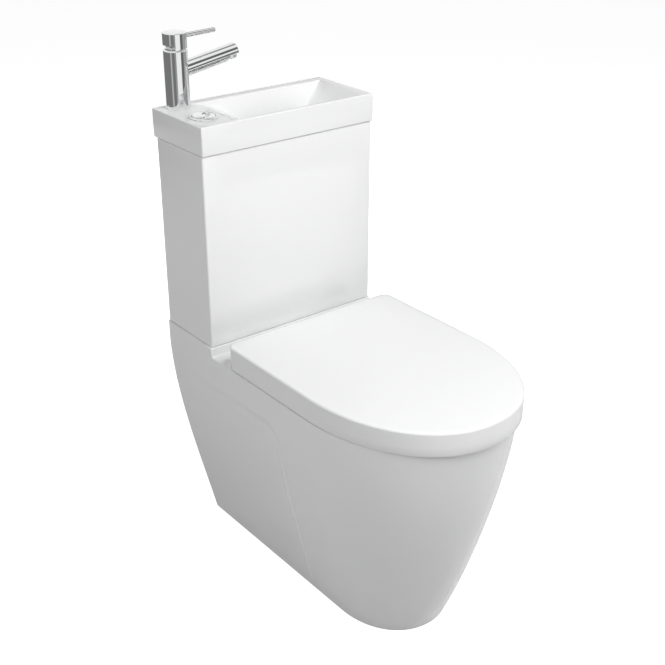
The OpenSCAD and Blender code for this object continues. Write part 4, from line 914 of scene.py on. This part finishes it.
def make_cap():
    """The handle: a turned cap over the neck, stepped up underneath, with the lever in its side."""
    outline = [(AXIS_R, CAP_LOW), (BODY_R - 0.5, CAP_LOW), (BODY_R, CAP_LOW + 0.5),
               (BODY_R, CAP_LOW + 1.0), (BODY_R, CAP_TOP - 1.9), (BODY_R, CAP_TOP - 1.4),
               (BODY_R - 0.2, CAP_TOP - 0.7), (BODY_R - 0.7, CAP_TOP - 0.2),
               (BODY_R - 1.5, CAP_TOP), (AXIS_R, CAP_TOP)]
    cap = loft("handle_cap", [[at_tap(r * cos(a), z, r * sin(a)) for a in full_circle(128)]
                              for r, z in outline])
    wedge = tipped(brick("undercut", -60, 0, -40, 40, -30, 0), 13.8, at_tap(-4, CAP_LOW))
    steps = [(-8, -1), (-8, 0), (-9.2, 1.4), (-12.4, 5.6), (-13.4, 6.3), (-14.6, 6.5),
             (-60, 6.5), (-60, -1)]
    step = loft("step_cut", [[at_tap(x, CAP_LOW + z, y) for x, z in steps] for y in (-40, 40)])
    hollow = ball("neck_space", 24.8, at_tap(0, 85.5), segments=96)
    cut_by(cap, wedge, step, hollow)
    root = at_tap(LEVER_ROOT * cos(radians(LEVER_RISE)),
                  120 + LEVER_ROOT * sin(radians(LEVER_RISE)))
    lever = drum("lever", LEVER_R, LEVER_LENGTH, root, lean=(0, 90 - LEVER_RISE, 0), sides=64)
    soften(lever, 0.8, 4, 50)
    return smooth(joined(cap, lever), 30)


tap_body = make_tap_body()
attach(tap_body, "body")
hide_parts("tap_body", "tap_base_ring")
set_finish(tap_body, "tap_chrome")
spout = make_spout()
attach(spout, "body")
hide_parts("tap_spout")
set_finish(spout, "tap_chrome")
nozzle = make_nozzle()
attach(nozzle, "body")
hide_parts("aerator_shell")
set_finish(nozzle, "tap_chrome")
cap = make_cap()
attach(cap, "handle")
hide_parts("tap_handle", "tap_lever")
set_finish(cap, "tap_chrome")

# ---------------------------------------------------------------- finishes


def add(tree, kind, **values):
    """A new node. A value named in_... goes to the input of that name or number."""
    node = tree.nodes.new(kind)
    for key, value in values.items():
        if key.startswith("in_"):
            label = key[3:]
            socket = node.inputs[int(label) if label.isdigit() else label.replace("_", " ")]
            socket.default_value = value
        else:
            setattr(node, key, value)
    return node


def surface_group():
    """Slow drift of tone, fine specks, a little play of gloss, and a faint waviness of the skin."""
    group = bpy.data.node_groups.new("surface_play", "ShaderNodeTree")
    group.interface.new_socket("Color", in_out="INPUT", socket_type="NodeSocketColor")
    for label in ("Tone", "Grain Scale", "Grain", "Gloss", "Gloss Play", "Wave Scale"):
        group.interface.new_socket(label, in_out="INPUT", socket_type="NodeSocketFloat")
    group.interface.new_socket("Color", in_out="OUTPUT", socket_type="NodeSocketColor")
    for label in ("Roughness", "Height"):
        group.interface.new_socket(label, in_out="OUTPUT", socket_type="NodeSocketFloat")
    link = group.links.new
    entry, leave = add(group, "NodeGroupInput"), add(group, "NodeGroupOutput")
    place = add(group, "ShaderNodeTexCoord")
    drift = add(group, "ShaderNodeTexNoise", in_Scale=5.0, in_Detail=3.0)
    grain = add(group, "ShaderNodeTexNoise", in_Detail=2.0)
    wave = add(group, "ShaderNodeTexNoise", in_Detail=1.0)
    for noise in (drift, grain, wave):
        link(place.outputs["Object"], noise.inputs["Vector"])
    link(entry.outputs["Grain Scale"], grain.inputs["Scale"])
    link(entry.outputs["Wave Scale"], wave.inputs["Scale"])

    def worked(operation, a, b):
        """A sum, difference or product of two outputs, of which the second may be a number."""
        node = add(group, "ShaderNodeMath", operation=operation)
        link(a, node.inputs[0])
        if isinstance(b, float):
            node.inputs[1].default_value = b
        else:
            link(b, node.inputs[1])
        return node.outputs[0]

    def swing(noise, amount):
        centred = worked("SUBTRACT", noise.outputs["Fac"], 0.5)
        return worked("MULTIPLY", centred, entry.outputs[amount])

    level = worked("ADD", worked("ADD", swing(drift, "Tone"), swing(grain, "Grain")), 1.0)
    tinted = add(group, "ShaderNodeVectorMath", operation="SCALE")
    link(entry.outputs["Color"], tinted.inputs[0])
    link(level, tinted.inputs["Scale"])
    link(tinted.outputs[0], leave.inputs["Color"])
    link(worked("ADD", entry.outputs["Gloss"], swing(drift, "Gloss Play")),
         leave.inputs["Roughness"])
    fine = worked("MULTIPLY", grain.outputs["Fac"], 0.05)
    link(worked("ADD", wave.outputs["Fac"], fine), leave.inputs["Height"])
    return group


surface_play = surface_group()


def finish(name, colour, gloss, tone=0.02, grain=0.01, grain_scale=400.0, gloss_play=0.03,
           wave_scale=9.0, bump=0.02, distance=0.001, metallic=0.0, coat=0.0):
    """A material with the play of surface_group in its colour, gloss and relief."""
    material = bpy.data.materials.new(name)
    material.use_nodes = True
    material.diffuse_color = (*colour, 1)
    tree = material.node_tree
    shader = tree.nodes["Principled BSDF"]
    play = add(tree, "ShaderNodeGroup", node_tree=surface_play, in_Color=(*colour, 1),
               in_Tone=tone, in_Grain=grain, in_Grain_Scale=grain_scale, in_Gloss=gloss,
               in_Gloss_Play=gloss_play, in_Wave_Scale=wave_scale)
    relief = add(tree, "ShaderNodeBump", in_Strength=bump, in_Distance=distance)
    tree.links.new(play.outputs["Color"], shader.inputs["Base Color"])
    tree.links.new(play.outputs["Roughness"], shader.inputs["Roughness"])
    tree.links.new(play.outputs["Height"], relief.inputs["Height"])
    tree.links.new(relief.outputs["Normal"], shader.inputs["Normal"])
    for label, value in (("Metallic", metallic), ("IOR", 1.5), ("Coat Weight", coat),
                         ("Coat Roughness", 0.03)):
        shader.inputs[label].default_value = value
    return material


finishes = {
    "ceramic": finish("white_glaze", (0.86, 0.862, 0.865), 0.085, tone=0.012, grain=0.006,
                      grain_scale=900, gloss_play=0.02, wave_scale=7, bump=0.05,
                      distance=0.002, coat=0.25),
    "seat_plastic": finish("white_moulding", (0.87, 0.872, 0.875), 0.14, tone=0.008,
                           grain=0.004, grain_scale=1500, gloss_play=0.02, wave_scale=14),
    "tap_chrome": finish("tap_chrome", (0.80, 0.805, 0.81), 0.045, grain_scale=1200,
                         gloss_play=0.02, wave_scale=30, bump=0.01, metallic=1.0),
    "hinge_chrome": finish("hinge_chrome", (0.76, 0.77, 0.78), 0.09, tone=0.03, grain=0.02,
                           gloss_play=0.04, metallic=1.0),
    "steel": finish("plain_steel", (0.60, 0.61, 0.62), 0.26, tone=0.06, grain=0.08,
                    grain_scale=700, gloss_play=0.1, bump=0.08, metallic=1.0),
    "brass": finish("plain_brass", (0.70, 0.53, 0.25), 0.24, tone=0.08, grain=0.06,
                    gloss_play=0.1, bump=0.06, metallic=1.0),
    "seal_rubber": finish("black_rubber", (0.055, 0.055, 0.056), 0.62, tone=0.15, grain=0.2,
                          grain_scale=900, gloss_play=0.12, bump=0.3),
    "buffer_rubber": finish("pale_rubber", (0.74, 0.74, 0.73), 0.5, tone=0.03, grain=0.04,
                            grain_scale=800, bump=0.2),
    "red_rubber": finish("red_rubber", (0.42, 0.08, 0.06), 0.5, tone=0.08, grain=0.08, bump=0.2),
    "inner_plastic": finish("inner_white_plastic", (0.78, 0.78, 0.77), 0.38, tone=0.03,
                            grain=0.03, bump=0.1),
    "grey_plastic": finish("grey_plastic", (0.40, 0.41, 0.42), 0.42, tone=0.05, grain=0.06,
                           bump=0.12),
    "blue_plastic": finish("blue_plastic", (0.16, 0.32, 0.54), 0.4, tone=0.05, grain=0.05,
                           bump=0.1),
    "black_plastic": finish("black_sheath", (0.028, 0.028, 0.029), 0.45, tone=0.1, grain=0.1,
                            bump=0.15),
}

slot_of = {part["node"]: part["material_slot"] for part in frame["record"]["subparts"]}
for name, node in frame["nodes"].items():
    material = finishes[slot_of[name]]
    if node.material_slots:
        for place in node.material_slots:
            place.material = material
    else:
        node.data.materials.append(material)
for piece in (pan, cistern, basin, lid, seat, hinges, bezel, full, half, *springs, tap_body,
              spout, nozzle, cap):
    piece.data.materials.clear()
    piece.data.materials.append(finishes[piece["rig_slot"]])

# ---------------------------------------------------------------- floor and lamps

SEEN = ("Is Camera Ray", "Is Glossy Ray", "Is Transmission Ray")


def mixed_by(tree, sources, plain, seen):
    """A grey for most rays, and another grey or an output for the kinds of ray named."""
    path = add(tree, "ShaderNodeLightPath")
    ray = path.outputs[sources[0]]
    for source in sources[1:]:
        either = add(tree, "ShaderNodeMath", operation="MAXIMUM")
        tree.links.new(ray, either.inputs[0])
        tree.links.new(path.outputs[source], either.inputs[1])
        ray = either.outputs[0]
    mix = add(tree, "ShaderNodeMix", data_type="RGBA", in_A=(plain, plain, plain, 1))
    tree.links.new(ray, mix.inputs["Factor"])
    if isinstance(seen, float):
        mix.inputs["B"].default_value = (seen, seen, seen, 1)
    else:
        tree.links.new(seen, mix.inputs["B"])
    return mix.outputs["Result"]


def matt(name):
    """A material without any gloss, and its shader."""
    material = bpy.data.materials.new(name)
    material.use_nodes = True
    shader = material.node_tree.nodes["Principled BSDF"]
    shader.inputs["Specular IOR Level"].default_value = 0.0
    shader.inputs["Emission Strength"].default_value = 1.0
    return material, shader


def make_floor():
    """A floor that melts into the white background, and is dimmer where it lights the piece."""
    floor = settle(primitive(bpy.ops.mesh.primitive_plane_add, size=80,
                             location=(0, 0, -0.0005)), "studio_floor")
    material, shader = matt("studio_floor")
    tree = material.node_tree
    glow = mixed_by(tree, SEEN, 0.0, mixed_by(tree, ("Is Glossy Ray",), 0.90, 0.25))
    tree.links.new(mixed_by(tree, SEEN, 0.36, 0.80), shader.inputs["Base Color"])
    tree.links.new(glow, shader.inputs["Emission Color"])
    shader.inputs["Roughness"].default_value = 1.0
    floor.data.materials.append(material)


make_floor()


def aimed(place, aim):
    """The turn that points an object's -z axis at an aim."""
    return (Vector(aim) - Vector(place)).to_track_quat("-Z", "Y").to_euler()


def lamp(name, place, aim, size, power):
    """A soft lamp that reflections don't show. Measures are metres and watts."""
    data = bpy.data.lights.new(name, "AREA")
    data.shape = "RECTANGLE"
    data.size, data.size_y = size
    data.energy = power
    light = into_scene(name, data)
    light.location = place
    light.rotation_euler = aimed(place, aim)
    light.visible_glossy = False


lamp("high_softbox", (0.25, -1.05, 2.05), (0, 0.05, 0.6), (1.0, 0.8), 21)
lamp("front_softbox", (0.3, -1.7, 1.5), (0, 0.1, 0.55), (1.2, 1.0), 17)
lamp("left_softbox", (-2.4, -0.2, 1.65), (0, 0, 0.7), (1.2, 1.2), 27.5)
lamp("right_softbox", (2.7, 0.5, 0.8), (0, 0.1, 0.5), (1.4, 1.2), 10)
lamp("back_softbox", (0.3, 3.0, 0.75), (0, 0.3, 0.5), (1.6, 1.2), 26)

world = bpy.data.worlds.new("studio_air")
scene.world = world
world.use_nodes = True
air = world.node_tree
backdrop = air.nodes["Background"]
air.links.new(mixed_by(air, SEEN, 0.075, 1.0), backdrop.inputs["Color"])
backdrop.inputs["Strength"].default_value = 1.0

# ---------------------------------------------------------------- cards for the chrome


def grey_card(name, place, aim, size, tone):
    """A card that only reflections show, to give the chrome its bands. Measures are metres."""
    card = primitive(bpy.ops.mesh.primitive_plane_add, size=1, location=place)
    card.scale = (size[0], size[1], 1)
    card.rotation_euler = aimed(place, aim)
    settle(card, name)
    material, shader = matt(name)
    shader.inputs["Base Color"].default_value = (0, 0, 0, 1)
    shader.inputs["Emission Color"].default_value = (tone, tone, tone, 1)
    card.data.materials.append(material)
    card.visible_camera = False
    card.visible_diffuse = False
    card.visible_shadow = False
    card.visible_transmission = False


def standing_card(name, azimuth, spread, distance, tone, low=0.0, high=0.97):
    """A card that stands round the tap, at a bearing from it and as far to each side of that.

    The angles are degrees, and the rest is metres.
    """
    out = Vector((cos(radians(azimuth)), sin(radians(azimuth)), 0))
    place = Vector((*TAP, 0)) / MM + out * distance + Vector((0, 0, (low + high) / 2))
    width = 2 * distance * math.tan(radians(spread))
    grey_card(name, place, place - out, (width, high - low), tone)


standing_card("side_card", 90, 33, 1.1, 0.21, low=0.5)
standing_card("left_card", 155.5, 32.5, 1.1, 0.21, low=0.5)
standing_card("line_card", 196.5, 4, 1.3, 0.6)
standing_card("near_left_card", 219, 12, 1.1, 0.2, low=0.5)
standing_card("bright_card", 269, 23, 1.3, 1.0)
standing_card("front_card", 306, 13.5, 1.3, 0.15, low=0.55)
standing_card("low_front_card", 306, 13.5, 1.3, 1.0, high=0.55)
standing_card("right_card", 8.5, 49.5, 1.2, 0.38, low=0.5)
grey_card("upper_card", (0.47, 0.79, 2.44), (0.47, 0.79, 0), (2.6, 0.7), 0.30)
grey_card("front_upper_card", (0.6, -0.885, 2.15), (0.6, 0.3, 2.15), (2.6, 1.28), 0.15)

scene.view_settings.view_transform = "Standard"
